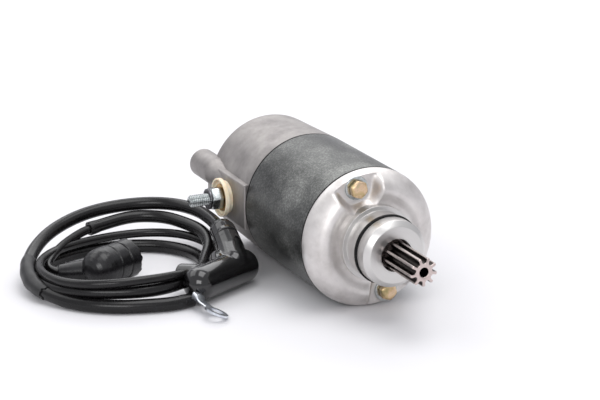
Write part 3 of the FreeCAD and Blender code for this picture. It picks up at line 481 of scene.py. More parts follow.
def spread(name, template, material, radius_mm, count, plane_mm, first_turn):
    """Repeat a template round the motor's axis."""
    def shape(tree, given):
        step = add(tree, "ShaderNodeMath", {0: 2 * math.pi, 1: given["Count"]}, operation="DIVIDE")
        turn = add(tree, "ShaderNodeMath", {
            0: add(tree, "GeometryNodeInputIndex").outputs[0], 1: step.outputs[0],
            2: given["First Turn"]}, operation="MULTIPLY_ADD").outputs[0]
        back = add(tree, "ShaderNodeMath", {0: given["Circle Radius"], 1: -1.0},
                   operation="MULTIPLY").outputs[0]
        spot = add(tree, "ShaderNodeCombineXYZ", {"X": given["Plane"]})
        for axis_name, kind, arm in (("Y", "SINE", back), ("Z", "COSINE", given["Circle Radius"])):
            wave = add(tree, "ShaderNodeMath", {0: turn}, operation=kind)
            moved = add(tree, "ShaderNodeMath", {0: wave.outputs[0], 1: arm}, operation="MULTIPLY")
            tree.links.new(moved.outputs[0], spot.inputs[axis_name])
        placed = add(tree, "GeometryNodePoints", {
            "Count": given["Count"], "Position": spot.outputs[0]})
        source = add(tree, "GeometryNodeObjectInfo", {"Object": given["Template"]})
        return add(tree, "GeometryNodeInstanceOnPoints", {
            "Points": placed.outputs[0], "Instance": source.outputs["Geometry"]}).outputs[0]

    return ruled(name, (
        ("Circle Radius", "Float", radius_mm / 1000), ("Count", "Int", count),
        ("Plane", "Float", plane_mm / 1000), ("First Turn", "Float", first_turn),
        ("Template", "Object", template), ("Material", "Material", material)), shape, (template,))


# yellow chromate over zinc: brassy, drifting to green and rose where the film is thin
yellow_zinc = layered(
    "yellow_zinc_plate", "#b4935c",
    tone=(4.5, 3, 0.5, [(0.3, "#a79a6e"), (0.45, "#ccb28a"), (0.58, "#e0c3a6"), (0.72, "#b0aa80")]),
    grain=(0.5, 3, 0.5, 0.012), Metallic=1.0, Roughness=0.34)

# bright zinc: cool silver with a faint milky bloom
bright_zinc = layered(
    "bright_zinc_plate", "#c6cacb", tone=(2.5, 3, 0.5, [(0.3, "#a2a8a8"), (0.65, "#c4c8c8")]),
    grain=(0.8, 3, 0.5, 0.003), Metallic=1.0, Roughness=0.24)

OUTWARD = Matrix(((0, 0, 1, 0), (1, 0, 0, 0), (0, 1, 0, 0), (0, 0, 0, 1)))
shell = bmesh.new()
hexagon_head(shell, 7.4, 0.0, 3.6, 0.0, 0.8)
bolt_template = scaled_piece("bolt_template", shell, [yellow_zinc],
                             OUTWARD @ Matrix.Rotation(math.radians(12), 4, "Z"))
shank = bmesh.new()
shank.from_mesh(bolt_template.data)
turned(shank, [(0.2, 0.0), (0.2, 2.4), (-83.2, 2.4), (-84.0, 1.7), (-84.0, 0.0)], 48)
shank.to_mesh(bolt_template.data)
shank.free()
bolts = spread("through_bolts_yellow", bolt_template, yellow_zinc, 26.4, 2, -6.0, BOLT_TURN)
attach(bolts, "housing")
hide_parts("through_bolts")

shell = bmesh.new()
turned(shell, eased([(0.0, 2.5), (1.0, 2.5), (1.0, 5.5), (0.0, 5.5)], 0.25), 72)
washer_template = settle("washer_template", shell, [bright_zinc])
washers = spread("through_bolt_washers_plain", washer_template, bright_zinc, 26.4, 2, -7.0,
                 BOLT_TURN)
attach(washers, "housing")
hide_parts("through_bolt_washers")

# ---------------------------------------------------------------------------
# Armature shaft: ground steel with nine pinion teeth cut on its end. The gaps
# have round roots, and their flanks are darkened with painted shade.
hardened, hard_tree, hard_shader, hard_place = finish(
    "hardened_ground_steel", "#8f8a88", Metallic=1.0, Roughness=0.3)
# ground steel on the lands and the end face; painted shade darkens the gaps, and a painted highlight
# makes the end face lighter
hard_apart = add(hard_tree, "ShaderNodeSeparateXYZ", {"Vector": hard_place})
hard_flat = add(hard_tree, "ShaderNodeCombineXYZ", {
    "Y": hard_apart.outputs["Y"], "Z": hard_apart.outputs["Z"]})
hard_radius = add(hard_tree, "ShaderNodeVectorMath", {0: hard_flat.outputs[0]},
                  operation="LENGTH").outputs["Value"]
on_end = add(hard_tree, "ShaderNodeMath", {0: hard_apart.outputs["X"], 1: 0.0428},
             operation="GREATER_THAN").outputs[0]
on_land = add(hard_tree, "ShaderNodeMapRange", {
    "Value": hard_radius, "From Min": 0.0057, "From Max": 0.0062}).outputs["Result"]
# painted shade: dark at the roots and flanks, rising to the lands' own colour
painted_gap_shade = add(hard_tree, "ShaderNodeValToRGB", {"Fac": on_land}, stops=[(0.0, "#2a2523"),
    (0.6, "#6a6260"), (1.0, "#a39a97")]).outputs[0]
# painted highlight: the end face takes a lighter colour than the lands
painted_shade_and_end_light = add(hard_tree, "ShaderNodeMix", {0: on_end, 6: painted_gap_shade, 7: linear("#cbbcb8")},
            data_type="RGBA")
hard_tree.links.new(painted_shade_and_end_light.outputs[2], hard_shader.inputs["Base Color"])
grind = add(hard_tree, "ShaderNodeTexNoise", {"Vector": add(hard_tree, "ShaderNodeMapping",
    {"Vector": hard_place, "Scale": (0.12, 1.0, 1.0)}).outputs[0], "Scale": 1000 / 0.4,
    "Detail": 2}).outputs[0]
add(hard_tree, "ShaderNodeBump", {"Height": grind, "Distance": 0.01 / 1000, "Strength": 0.8},
    into=hard_shader.inputs["Normal"])
add(hard_tree, "ShaderNodeValToRGB", {"Fac": grind}, into=hard_shader.inputs["Roughness"],
    stops=[(0.3, 0.24), (0.7, 0.38)])

TEETH = 9
LAND = 6.5
ROOT_CENTRE = 5.2
ROOT = 1.25
tooth_section = []
half_pitch = math.pi / TEETH
for tooth in range(TEETH):
    middle = 2 * math.pi * tooth / TEETH + half_pitch
    half_gap = math.asin(1.55 / LAND)
    corner = half_pitch - half_gap
    for t in np.linspace(-1, 1, 9):
        # the rounded land of the tooth
        r = LAND - 0.28 * abs(t) ** 6
        tooth_section.append((r, middle + corner * t * 0.98))
    for t in np.linspace(0, 1, 5)[:-1]:
        tooth_section.append((6.1 - 0.95 * t, middle + corner + 0.004 * t))
    gap_at = middle + half_pitch
    for t in np.linspace(-1, 1, 7):
        # the round root between two teeth
        y = ROOT * math.sin(t * math.pi / 2)
        x = ROOT_CENTRE - ROOT * math.cos(t * math.pi / 2)
        tooth_section.append((math.hypot(x, y), gap_at + math.atan2(y, x)))
    for t in np.linspace(0, 1, 5)[1:]:
        tooth_section.append((5.15 + 0.95 * t,
                              gap_at + half_pitch - corner - 0.004 * (1 - t)))
COUNT = len(tooth_section)
shell = bmesh.new()
levels = []


def shaft_level(x, pick):
    levels.append([shell.verts.new((x / 1000, -pick(r) * math.sin(a) / 1000,
                                    pick(r) * math.cos(a) / 1000)) for r, a in tooth_section])


shaft_level(35.3, lambda r: 1.6)
shaft_level(35.6, lambda r: 2.1)
shaft_level(42.8, lambda r: 2.15)
shaft_level(43.15, lambda r: 2.3)
shaft_level(43.3, lambda r: 2.55)
shaft_level(43.3, lambda r: 3.9)
shaft_level(43.28, lambda r: r - 0.42 if r > 6 else r - 0.05)
shaft_level(43.12, lambda r: r - 0.18 if r > 6 else r - 0.02)
shaft_level(42.8, lambda r: r)
for x in np.linspace(41, 19, 8):
    shaft_level(float(x), lambda r: r)
for x, share in ((18.2, 0.12), (17.2, 0.5), (16.4, 0.85), (15.8, 1.0)):
    shaft_level(x, lambda r, share=share: r + (LAND - r) * share)
for x, radius in ((14.5, 6.5), (14.45, 7.0), (14.0, 7.5), (-12.6, 7.5), (-12.6, 9.0), (-14.6, 9.0),
                  (-14.6, 6.0), (-84.0, 6.0), (-84.0, 4.5), (-110.0, 4.5), (-110.5, 4.0)):
    shaft_level(x, lambda r, radius=radius: radius)
for near, far in zip(levels, levels[1:]):
    for k in range(COUNT):
        m = (k + 1) % COUNT
        shell.faces.new((near[k], far[k], far[m], near[m]))
shell.faces.new(levels[0])
shell.faces.new(levels[-1])
shaft = settle("pinion_shaft", shell, [hardened], 42)
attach(shaft, "armature")
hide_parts("armature_shaft")

# ---------------------------------------------------------------------------
# Terminal: a rolled M6 stud through a moulded nylon bush in two steps, with a
# brass washer, a bright zinc nut and a split washer outside it.
SIDEWAYS = Matrix.Translation((-0.094, 0, 0)) @ Matrix(
    ((0, 1, 0, 0), (-1, 0, 0, 0), (0, 0, 1, 0), (0, 0, 0, 1)))


def threaded(name, material, radius, pitch, depth, start, length, tip):
    """A rolled thread: a sheet wrapped round and pressed."""
    def shape(tree, given):
        def sum_of(operation, *terms):
            return add(tree, "ShaderNodeMath", dict(enumerate(terms)), operation=operation).outputs[0]

        wide = sum_of("MULTIPLY", given["Length"], 1.02)
        sheet = add(tree, "GeometryNodeMeshGrid", {
            "Size X": wide, "Size Y": 2 * math.pi, "Vertices X": 260, "Vertices Y": 49})
        place = add(tree, "ShaderNodeSeparateXYZ", {
            0: add(tree, "GeometryNodeInputPosition").outputs[0]}).outputs
        along = sum_of("ADD", place["X"], sum_of("DIVIDE", given["Length"], 2.0))
        held = sum_of("MINIMUM", sum_of("MAXIMUM", along, 0.0), given["Length"])
        inside = sum_of("COMPARE", along, held, 1e-6)
        turns = sum_of("ADD", sum_of("DIVIDE", held, given["Pitch"]),
                       sum_of("DIVIDE", place["Y"], 2 * math.pi))
        wave = sum_of("ABSOLUTE", sum_of("SUBTRACT", sum_of(
            "MULTIPLY", sum_of("FRACT", turns), 2.0), 1.0))
        worn = sum_of("SMOOTH_MIN", wave, 0.86, 0.2)
        cut_in = sum_of("MULTIPLY", sum_of("SUBTRACT", 0.86, worn), given["Depth"])
        to_end = sum_of("SUBTRACT", given["Length"], held)
        nip = sum_of("MAXIMUM", sum_of("SUBTRACT", given["Tip"], to_end), 0.0)
        full = sum_of("SUBTRACT", given["Radius"], sum_of("MAXIMUM", cut_in, nip))
        reach = sum_of("MULTIPLY", full, inside)
        wrapped = add(tree, "ShaderNodeCombineXYZ", {
            "X": held, "Y": sum_of("MULTIPLY", reach, sum_of("SINE", place["Y"])),
            "Z": sum_of("MULTIPLY", reach, sum_of("COSINE", place["Y"]))})
        pressed = add(tree, "GeometryNodeSetPosition", {
            "Geometry": sheet.outputs["Mesh"], "Position": wrapped.outputs[0]})
        joined = add(tree, "GeometryNodeMergeByDistance", {
            "Geometry": pressed.outputs[0], "Distance": 1e-6})
        return joined.outputs[0]

    made = ruled(name, [(label, "Float", value / 1000) for label, value in (
        ("Radius", radius), ("Pitch", pitch), ("Depth", depth), ("Length", length), ("Tip", tip))]
        + [("Material", "Material", material)], shape)
    shell = bmesh.new()
    shell.from_mesh(made.data)
    bpy.data.objects.remove(made)
    bmesh.ops.transform(shell, matrix=SIDEWAYS @ Matrix.Translation((start / 1000, 0, 0)),
                        verts=shell.verts)
    return settle(name, shell, [material], 60)


stud = threaded("terminal_stud_rolled", bright_zinc, 3.0, 1.0, 0.62, 26.5, 26.2, 0.8)
shell = bmesh.new()
shell.from_mesh(stud.data)
turned(shell, eased([(23.0, 0.0), (23.0, 5.0), (26.6, 5.0), (26.6, 0.0)], 0.3), 48, SIDEWAYS)
shell.to_mesh(stud.data)
shell.free()
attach(stud, "housing")
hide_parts("terminal_stud")

shell = bmesh.new()
hexagon_head(shell, 10.0, 0.0, 5.8, 3.0)
nut = scaled_piece("terminal_nut_hexagon", shell, [bright_zinc],
                   SIDEWAYS @ Matrix.Translation((0.0364, 0, 0))
                   @ OUTWARD @ Matrix.Rotation(math.radians(-20), 4, "Z"), 30)
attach(nut, "housing")
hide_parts("terminal_nut")

# spring steel under thin zinc: darker than the nut, with a smoky cast
dull_zinc = layered(
    "dull_zinc_spring_steel", "#6d6c70", tone=(2, 3, 0.5, [(0.3, "#515054"), (0.7, "#838286")]),
    Metallic=1.0, Roughness=0.34)
shell = bmesh.new()
coil = []
for t in np.linspace(0, 1, 73):
    turn = math.radians(12 + 336 * t)
    lift = 42.25 + 0.3 * t
    coil.append([shell.verts.new(SIDEWAYS @ Vector((
        x / 1000, r * math.cos(turn) / 1000, r * math.sin(turn) / 1000)))
        for x, r in eased([(lift, 3.1), (lift + 1.0, 3.1), (lift + 1.0, 5.0), (lift, 5.0)], 0.25)])
for near, far in zip(coil, coil[1:]):
    for k in range(len(near)):
        m = (k + 1) % len(near)
        shell.faces.new((near[k], near[m], far[m], far[k]))
shell.faces.new(coil[0])
shell.faces.new(coil[-1])
lock_washer = settle("terminal_split_washer", shell, [dull_zinc])
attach(lock_washer, "housing")
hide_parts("lock_washer")

# natural nylon: cream, slightly waxy and see-through at its thin edges, yellowed by heat
nylon = layered(
    "moulded_natural_nylon", "#e9dfc6",
    tone=(5, 4, 0.5, [(0.32, "#dccbab"), (0.55, "#ebe1c9"), (0.75, "#f1ead8")]),
    grain=(0.8, 3, 0.5, 0.02), Roughness=0.42, Subsurface_Weight=0.12, Subsurface_Scale=0.002)
shell = bmesh.new()
turned(shell, eased([(33.0, 5.4), (33.0, 7.9), (35.3, 7.9), (35.3, 9.4), (37.4, 9.4), (37.4, 8.4),
                     (35.5, 8.4), (35.5, 3.05), (34.75, 3.05), (34.75, 5.4)], 0.4), 128, SIDEWAYS)
bush = settle("terminal_bush_stepped", shell, [nylon], 45)
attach(bush, "housing")
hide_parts("outer_insulator")

# brass washer: golden brown, streaked where it was blanked and heated
brass = layered(
    "heat_tinted_brass", "#b08a4e",
    tone=(2.5, 3, 0.5, [(0.3, "#8d6a38"), (0.55, "#b8935a"), (0.75, "#cda56e")]),
    grain=(0.4, 3, 0.5, 0.012), Metallic=1.0, Roughness=0.3)
shell = bmesh.new()
turned(shell, eased([(35.5, 3.05), (36.4, 3.05), (36.4, 6.6), (35.5, 6.6)], 0.25), 96, SIDEWAYS)
washer = settle("terminal_washer_brass", shell, [brass])
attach(washer, "housing")
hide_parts("terminal_washer")

# ---------------------------------------------------------------------------
# Inside the motor: seal, bearing, magnets, armature and brush gear keep their
# CAD shapes, each in its own material.


def plain_metal(name, dark, light, rough, lump_mm):
    """A bare metal with slight tone, and a broad grain that its making leaves."""
    return layered(name, light, tone=(lump_mm, 4, 0.5, [(0.3, dark), (0.7, light)]),
                   grain=(lump_mm * 5, 3, 0.5, 0.01), Metallic=1.0, Roughness=rough)


def plain_solid(name, dark, light, rough, lump_mm):
    """A moulded or pressed solid that isn't metal, with slight tone and grain."""
    return layered(name, light, tone=(lump_mm, 4, 0.5, [(0.3, dark), (0.7, light)]),
                   grain=(lump_mm * 4, 3, 0.5, 0.015), Roughness=rough)


bearing_steel = plain_metal("lapped_bearing_steel", "#a3a5a8", "#d0d2d4", 0.16, 3)
core_steel = plain_metal("stamped_electrical_steel", "#56585b", "#8b8d90", 0.42, 2)
enamel_copper = plain_metal("enamelled_copper", "#7d3f1f", "#b4683a", 0.32, 1.5)
bare_copper = plain_metal("turned_copper", "#a8623f", "#d49270", 0.3, 2)
bronze = plain_metal("sintered_bronze", "#8c6a3e", "#b8925c", 0.45, 0.8)
spring_wire = plain_metal("drawn_spring_wire", "#7d7f82", "#b0b2b5", 0.28, 1.2)
pressed_steel = plain_metal("zinc_plated_pressing", "#8f9294", "#c0c3c4", 0.33, 4)
ferrite = plain_solid("sintered_ferrite", "#29292b", "#3d3d40", 0.62, 3)
phenolic = plain_solid("moulded_phenolic", "#3a2416", "#553521", 0.4, 2.5)
carbon = plain_solid("pressed_copper_graphite", "#2b2624", "#4a3c35", 0.45, 0.7)
for material, names in (
        (nitrile, ("front_oil_seal",)),
        (bearing_steel, ("bearing_outer_race", "bearing_inner_race", "bearing_balls")),
        (pressed_steel, ("bearing_cage", "brush_plate", "front_thrust_washers",
                         "rear_thrust_washers")),
        (ferrite, ("field_magnets",)), (core_steel, ("armature_core",)),
        (enamel_copper, ("armature_windings",)), (phenolic, ("commutator_hub", "inner_insulator",
                                                             "holder_insulators")),
        (bare_copper, ("commutator_segments", "live_bus_bar", "live_brush_holders",
                       "earth_brush_holders")),
        (bronze, ("rear_bush",)), (carbon, ("brush_1", "brush_2", "brush_3", "brush_4")),
        (spring_wire, ("brush_spring_1", "brush_spring_2", "brush_spring_3", "brush_spring_4"))):
    for name in names:
        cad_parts[name].material_slots[0].material = material

# ---------------------------------------------------------------------------
# Motor lead: PVC-covered copper, 6.4 mm over the cover. It leaves the motor
# boot's branch, makes the coil's widest turn and ends in the ring terminal.
# extruded PVC: almost black with a faint warm bloom, satin, and drawn very slightly uneven
satin_vinyl = layered(
    "satin_black_pvc", "#0f0e0f", tone=(9, 4, 0.5, [(0.35, "#090809"), (0.7, "#131112")]),
    gloss=(3, 5, 0.5, [(0.3, 0.21), (0.75, 0.31)]), grain=(2.5, 3, 0.5, 0.015),
    Roughness=0.26, Specular_IOR_Level=0.36)


def cable(name, points, thick_mm, material):
    """A cable along a smooth route of points in millimetres."""
    data = bpy.data.curves.new(name, "CURVE")
    data.dimensions = "3D"
    data.bevel_depth = thick_mm / 2000
    data.bevel_resolution = 7
    data.resolution_u = 10
    data.use_fill_caps = True
    line = data.splines.new("NURBS")
    line.points.add(len(points) - 1)
    for spot, (x, y, z) in zip(line.points, points):
        spot.co = (x / 1000, y / 1000, z / 1000, 1.0)
    line.order_u = 3
    line.use_endpoint_u = True
    data.materials.append(material)
    made = bpy.data.objects.new(name, data)
    bpy.context.scene.collection.objects.link(made)
    return made


motor_lead = cable("motor_lead", [
    (-70, -44.5, -13), (-78, -42, -12.8), (-88, -40.2, -12.4), (-99, -39.3, -12), (-112, -40, -11.6),
    (-124, -44.5, -11.5), (-132.5, -53, -11.5), (-137.5, -65, -11.8), (-139, -80, -12.5),
    (-136.5, -95, -14), (-129, -111, -17), (-117, -123.5, -20.5), (-102, -132, -23.5),
    (-89, -135, -25.5), (-76, -132.5, -27.5), (-64, -126, -29), (-54, -117, -29.2),
    (-47, -106, -29.2), (-43.5, -95, -29.2), (-41.5, -87, -29.2), (-40.8, -80, -29.2),
    (-41.8, -73, -28.9)], 6.4, satin_vinyl)

# ---------------------------------------------------------------------------
# Relay lead: a sheathed cable that makes the inner turns. The sheath is cut off
# short, and one wire goes on from it into the relay boot.
relay_lead = cable("relay_lead", [
    (-62, -58, -28.5), (-70, -53.5, -29.3), (-79, -50, -29.3), (-88, -47.5, -29.3),
    (-98, -46.5, -29.3), (-108, -49, -29.3), (-118, -56, -29.3), (-125, -67, -29.3),
    (-128, -79, -29.3), (-129, -92, -29.3), (-126, -104, -29.3), (-121, -114, -29.3),
    (-112, -124, -28.5), (-101, -130, -27.5), (-87, -131.5, -26.5), (-73, -128.5, -25.5),
    (-62, -121, -24.5), (-54, -110, -24.2), (-49, -97, -24), (-48, -87, -24), (-50.5, -77, -24),
    (-56, -67, -24), (-65, -58.5, -24), (-76, -52, -23), (-84, -46.5, -21), (-94, -43.5, -19),
    (-104, -43.5, -18), (-115, -47, -17.5), (-125, -52, -17), (-131.5, -60, -17),
    (-133.5, -69, -17), (-132.5, -80, -18), (-130, -91, -19)], 6.2, satin_vinyl)
relay_wire = cable("relay_wire", [
    (-130.6, -88.5, -18.8), (-129.2, -93.5, -19.4), (-126.5, -99, -20.4), (-122.5, -106, -22),
    (-118, -111.5, -23.4), (-112.5, -117, -24.8), (-106, -120.6, -25.8), (-100, -120.8, -26.4),
    (-94.5, -117.5, -26.4)], 4.3, satin_vinyl)

# ---------------------------------------------------------------------------
# Earth lead: a loop of the thinnest wire, from the boot's neck round the coil
# and back into the boot behind its branch.
earth_lead = cable("earth_lead", [
    (-56, -67, -21.5), (-51, -73, -19.5), (-48.5, -80, -18.8), (-47.5, -88, -18.5),
    (-48, -97, -18.5), (-50, -108, -18.8), (-56, -119, -19.5), (-67, -127, -20.5),
    (-80, -130, -21.3), (-94, -129, -22), (-107, -123, -22.7), (-118, -113, -23.3),
    (-123.5, -101, -23.5), (-126.5, -89, -23.5), (-127.5, -76, -23.5), (-126, -64, -23.5),
    (-120, -53, -23.3), (-111, -46.5, -23), (-101, -43, -23), (-91, -42.5, -23), (-81, -45, -23),
    (-72, -50, -23.5)], 4.2, satin_vinyl)

# ---------------------------------------------------------------------------
# Sleeves: soft PVC sleeving cut with a knife. One ends the relay lead's sheath,
# and a wider one covers the motor lead's joint, torn a little at its mouth.


def line_of(lead):
    """The lead's own centreline as points, from its first end to its last."""
    bare = lead.data.copy()
    bare.bevel_depth = 0
    twin = bpy.data.objects.new("measure", bare)
    bpy.context.scene.collection.objects.link(twin)
    bpy.context.view_layer.update()
    line = bpy.data.meshes.new_from_object(
        twin.evaluated_get(bpy.context.evaluated_depsgraph_get()))
    points = [vertex.co.copy() for vertex in line.vertices]
    bpy.data.objects.remove(twin)
    return points


SLEEVE_STEPS = 40


def sleeve(name, lead, near_mm, far_mm, outer, wall, torn, material, edge_material):
    """A tube over the lead between the two places nearest to these points."""
    points = line_of(lead)
    first, last = sorted(min(range(len(points)), key=lambda i: (
        points[i] - Vector(spot) / 1000).length) for spot in (near_mm, far_mm))
    points = points[first:last + 1]
    shell = bmesh.new()
    rows = []
    ends = [(i, outer) for i in range(len(points))]
    inside = [(i, outer - wall) for i in reversed(range(len(points)))]
    side = None
    for i, radius in ends + inside:
        ahead = (points[min(i + 1, len(points) - 1)] - points[max(i - 1, 0)]).normalized()
        side = (side or Vector((0, 0, 1)))
        side = (side - ahead * side.dot(ahead)).normalized()
        across = ahead.cross(side)
        at_mouth = max(0.0, 1 - (len(points) - 1 - i) / 3)
        if radius == outer:
            radius = outer - wall * (1 - min(i / 4, 1.0)) * 0.98
        row = []
        for k in range(SLEEVE_STEPS):
            turn = 2 * math.pi * k / SLEEVE_STEPS
            fray = torn * at_mouth * (math.sin(3 * turn + 1) + 0.7 * math.sin(7 * turn) +
                                      0.5 * math.sin(13 * turn + 2))
            slack = 1 + 0.05 * math.sin(2 * turn + i * 0.21) + 0.03 * math.sin(i * 0.9)
            row.append(shell.verts.new(points[i] + ahead * fray / 1000 + (
                side * math.cos(turn) + across * math.sin(turn)) * radius * slack / 1000))
        rows.append(row)
    for i, row in enumerate(rows):
        after = rows[(i + 1) % len(rows)]
        for k in range(SLEEVE_STEPS):
            m = (k + 1) % SLEEVE_STEPS
            scuffed = radius == outer and i == len(points) - 1 and math.sin(k * 1.9) > -0.3
            shell.faces.new((row[k], after[k], after[m], row[m])).material_index = int(scuffed)
    return settle(name, shell, [material, edge_material], 50)


# soft sleeving: black, a little duller and more creased than the leads' own covers
soft_sleeving = layered(
    "soft_pvc_sleeving", "#121113", tone=(4, 5, 0.5, [(0.3, "#0e0d0e"), (0.7, "#1a191b")]),
    grain=(2.2, 5, 0.5, 0.08), Roughness=0.45)
# the torn lip turns chalky where it was stretched
whitened = layered(
    "stress_whitened_pvc", "#a9a6a7", tone=(0.8, 2, 0.5, [(0.4, "#4a484a"), (0.55, "#c9c6c7")]),
    Roughness=0.6)
sheath_end = sleeve("sheath_end", relay_lead, (-131.7, -84, -18.4), (-130, -91, -19), 3.3, 0.6, 0.25,
                    soft_sleeving, soft_sleeving)
joint_sleeve = sleeve("joint_sleeve", motor_lead, (-108, -129.5, -22.6), (-75, -132, -27.6), 3.85,
                      0.7, 0.7, soft_sleeving, whitened)

# ---------------------------------------------------------------------------
# Motor boot: dipped soft PVC over the motor's ring terminal, with a branch and a
# neck for the leads. It is glossy where the mould was polished.
# dip-moulded plastisol: wet-looking black with soft sags and a few dust specks
glossy_vinyl = layered(
    "dipped_glossy_pvc", "#0b0a0c", tone=(9, 3, 0.5, [(0.35, "#090809"), (0.7, "#121113")]),
    gloss=(7, 3, 0.5, [(0.35, 0.1), (0.7, 0.2)]), grain=(5.5, 2, 0.5, 0.06), Roughness=0.15,
    Specular_IOR_Level=0.4, Coat_Weight=0.6, Coat_Roughness=0.05)


def stood_on(start, end):
    """The axis from one point to another, in millimetres, for a piece turned about its X."""
    along = (Vector(end) - Vector(start)).normalized()
    turn = along.to_track_quat("X", "Z").to_matrix().to_4x4()
    return Matrix.Translation(Vector(start) / 1000) @ turn, (Vector(end) - Vector(start)).length


def domed(reach, start_radius, end_radius, dome_start=1.0, dome_end=1.0):
    """The section of a limb with a dome on each end, as flat as its share says."""
    bend = [math.radians(a) for a in range(0, 91, 15)]
    return ([(-start_radius * dome_start * math.cos(a), start_radius * math.sin(a)) for a in bend]
            + [(reach + end_radius * dome_end * math.sin(a), end_radius * math.cos(a))
               for a in bend])


def moulded(name, shell, material, grain_mm, rounds):
    """Fuse overlapping limbs into one skin, as a dip leaves them."""
    rough = settle(name + "_limbs", shell, [material])
    skin_over = rough.modifiers.new("fuse", "REMESH")
    skin_over.mode = "VOXEL"
    skin_over.voxel_size = grain_mm / 1000
    relax = rough.modifiers.new("relax", "SMOOTH")
    relax.factor = 0.5
    relax.iterations = rounds
    made = baked(name, rough)
    for face in made.data.polygons:
        face.use_smooth = True
    made.data.materials.clear()
    made.data.materials.append(material)
    return made


shell = bmesh.new()
for start, end, near_r, far_r, flat_near, flat_far in (
        ((-45.2, -68.2, -23.4), (-60.0, -39.5, -23.4), 8.0, 8.0, 0.9, 0.75),
        ((-57.5, -45.5, -21.0), (-70.0, -42.6, -17.0), 7.4, 6.8, 1.0, 1.0),
        ((-67.0, -43.0, -17.6), (-81.0, -41.2, -11.8), 6.8, 6.2, 1.0, 0.3),
        ((-49.0, -62.5, -22.0), (-59.0, -72.2, -22.4), 5.8, 5.0, 1.0, 0.3),
        ((-52.0, -55.0, -21.5), (-63.0, -51.0, -19.5), 5.4, 4.4, 1.0, 1.0)):
    stand, reach = stood_on(start, end)
    turned(shell, domed(reach, near_r, far_r, flat_near, flat_far), 64, stand)
boot_body = moulded("motor_boot_dipped", shell, glossy_vinyl, 0.42, 26)
stand = stood_on((-79.0, -41.4, -12.8), (-85.0, -40.6, -12.0))[0]
shell = bmesh.new()
turned(shell, eased([(-6.0, 6.0), (2.6, 5.6), (4.0, 5.9), (4.0, 4.9), (2.6, 4.5), (-6.0, 3.6)], 0.5),
       72, stand)
boot_mouth = settle("motor_boot_mouth", shell, [glossy_vinyl], 60)
for piece in (boot_body, boot_mouth):
    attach(piece, "housing")
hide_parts("motor_boot")

# ---------------------------------------------------------------------------
# Relay boot: a moulded cap with two steps and an elbow, slid off its terminal,
# so that the stretched and slightly torn rim of its open end shows.
# moulded from a shot-blasted tool: satin black with rubbed, shinier patches
satin_cap = layered(
    "moulded_satin_pvc", "#0f0e10", tone=(5, 4, 0.5, [(0.35, "#0e0d0f"), (0.7, "#18171a")]),
    gloss=(6, 4, 0.5, [(0.35, 0.22), (0.7, 0.36)]), grain=(1.6, 4, 0.5, 0.05), Roughness=0.3,
    Specular_IOR_Level=0.45)
stand = stood_on((-84.6, -101.0, -22.9), (-94.6, -80.5, -22.9))[0]
outline = [(-9.2, 0.0), (-9.05, 1.6), (-8.6, 3.4), (-7.6, 5.3), (-6.2, 6.9), (-4.3, 8.2),
           (-2.2, 9.0), (0.0, 9.3), (4.4, 9.4), (4.6, 8.6), (5.4, 8.5), (5.7, 9.0), (11.2, 9.1),
           (11.4, 8.3), (12.2, 8.2), (12.5, 8.9), (17.4, 9.4), (18.1, 9.2), (18.2, 8.3),
           (17.5, 7.6), (7.0, 7.4), (6.0, 6.4), (5.7, 0.0)]
shell = bmesh.new()
turned(shell, outline, 96, stand)
inward = stand.inverted()
for vertex in shell.verts:
    local = inward @ vertex.co * 1000
    turn = math.atan2(local.z, local.y)
    if local.x > 14.5:
        local.x += (local.x - 14.5) / 3.7 * (0.35 * math.sin(5 * turn + 1) + 0.3 * math.sin(11 * turn)
                                           + 0.25 * math.sin(17 * turn + 2))
        vertex.co = stand @ (local / 1000)
stand, reach = stood_on((-86.5, -101.5, -24.8), (-95.0, -118.0, -26.4))
turned(shell, domed(reach, 6.4, 4.0, 0.3, 0.25), 64, stand)
relay_cap = moulded("relay_boot_cap", shell, satin_cap, 0.24, 2)
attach(relay_cap, "housing")
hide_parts("relay_boot")

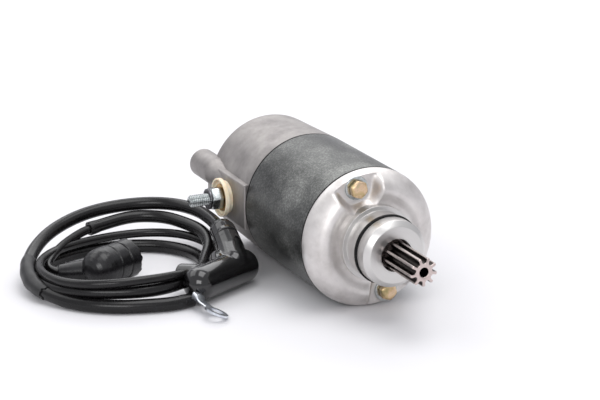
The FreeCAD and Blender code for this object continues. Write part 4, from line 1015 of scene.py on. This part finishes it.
# ---------------------------------------------------------------------------
# Ring terminal: tinned sheet copper, blanked, its barrel rolled over the motor
# lead and crimped. It rests on one edge, so it is seen almost edge on.
# bright tin: bluish white, faintly streaked along the strip
tinned = layered(
    "tinned_copper", "#c4c8d0", tone=(2.2, 3, 0.5, [(0.3, "#c3c8d2"), (0.7, "#e6e9ee")]),
    grain=(0.7, 3, 0.5, 0.01), tone_stretch=(0.3, 1.0, 1.0), Metallic=1.0, Roughness=0.34)
shell = bmesh.new()
upward = Vector((0.031, 0.4, 0.9)).normalized()
forward = Vector((0.9, 0.2, -0.12))
forward = (forward - upward * forward.dot(upward)).normalized()
lay = Matrix.Translation((-0.0222, -0.0696, -0.0291)) @ Matrix(
    (forward, upward.cross(forward), upward)).transposed().to_4x4()
EYE_STEPS = 72
TONGUE_STEPS = 32
eye = []
for k in range(EYE_STEPS):
    a = 2 * math.pi * k / EYE_STEPS
    eye.append((5.6 * math.cos(a), 5.6 * math.sin(a), 3.2 * math.cos(a), 3.2 * math.sin(a)))
plate = []
for height in (-0.5, 0.5):
    plate.append([[shell.verts.new(lay @ Vector((x / 1000, y / 1000, height / 1000)))
                   for x, y in ((out_x, out_y), (in_x, in_y))]
                  for out_x, out_y, in_x, in_y in eye])
for k in range(EYE_STEPS):
    m = (k + 1) % EYE_STEPS
    low, high = plate
    shell.faces.new((low[k][0], low[m][0], high[m][0], high[k][0]))
    shell.faces.new((low[m][1], low[k][1], high[k][1], high[m][1]))
    shell.faces.new((low[k][1], low[m][1], low[m][0], low[k][0]))
    shell.faces.new((high[k][0], high[m][0], high[m][1], high[k][1]))
tongue = []
for x, half, rise, thick in ((-4.6, 3.1, 0.0, 0.5), (-7.0, 2.8, 0.0, 0.5), (-10.5, 2.6, 0.0, 0.5),
                             (-12.0, 2.5, 0.2, 0.7), (-13.0, 2.6, 0.6, 1.3), (-14.0, 2.6, 0.9, 1.7),
                             (-16.5, 2.6, 1.0, 1.8)):
    row = []
    for k in range(TONGUE_STEPS):
        a = 2 * math.pi * k / TONGUE_STEPS
        square = max(abs(math.cos(a)), abs(math.sin(a))) ** 0.55
        row.append(shell.verts.new(lay @ Vector((
            x / 1000, half * math.cos(a) / square / 1000,
            (rise + thick * math.sin(a) / square) / 1000))))
    tongue.append(row)
for near, far in zip(tongue, tongue[1:]):
    for k in range(TONGUE_STEPS):
        m = (k + 1) % TONGUE_STEPS
        shell.faces.new((near[k], near[m], far[m], far[k]))
shell.faces.new(tongue[0])
shell.faces.new(tongue[-1])
ring_terminal = settle("ring_terminal_tinned", shell, [tinned], 35)
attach(ring_terminal, "housing")
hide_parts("ring_terminal")

# ---------------------------------------------------------------------------
# The leads and the two sleeves join the housing, and the CAD lead coil is hidden.
for lead in (motor_lead, relay_lead, relay_wire, earth_lead):
    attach(lead, "housing")
for piece in (sheath_end, joint_sleeve):
    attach(piece, "housing")
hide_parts("lead_coil")
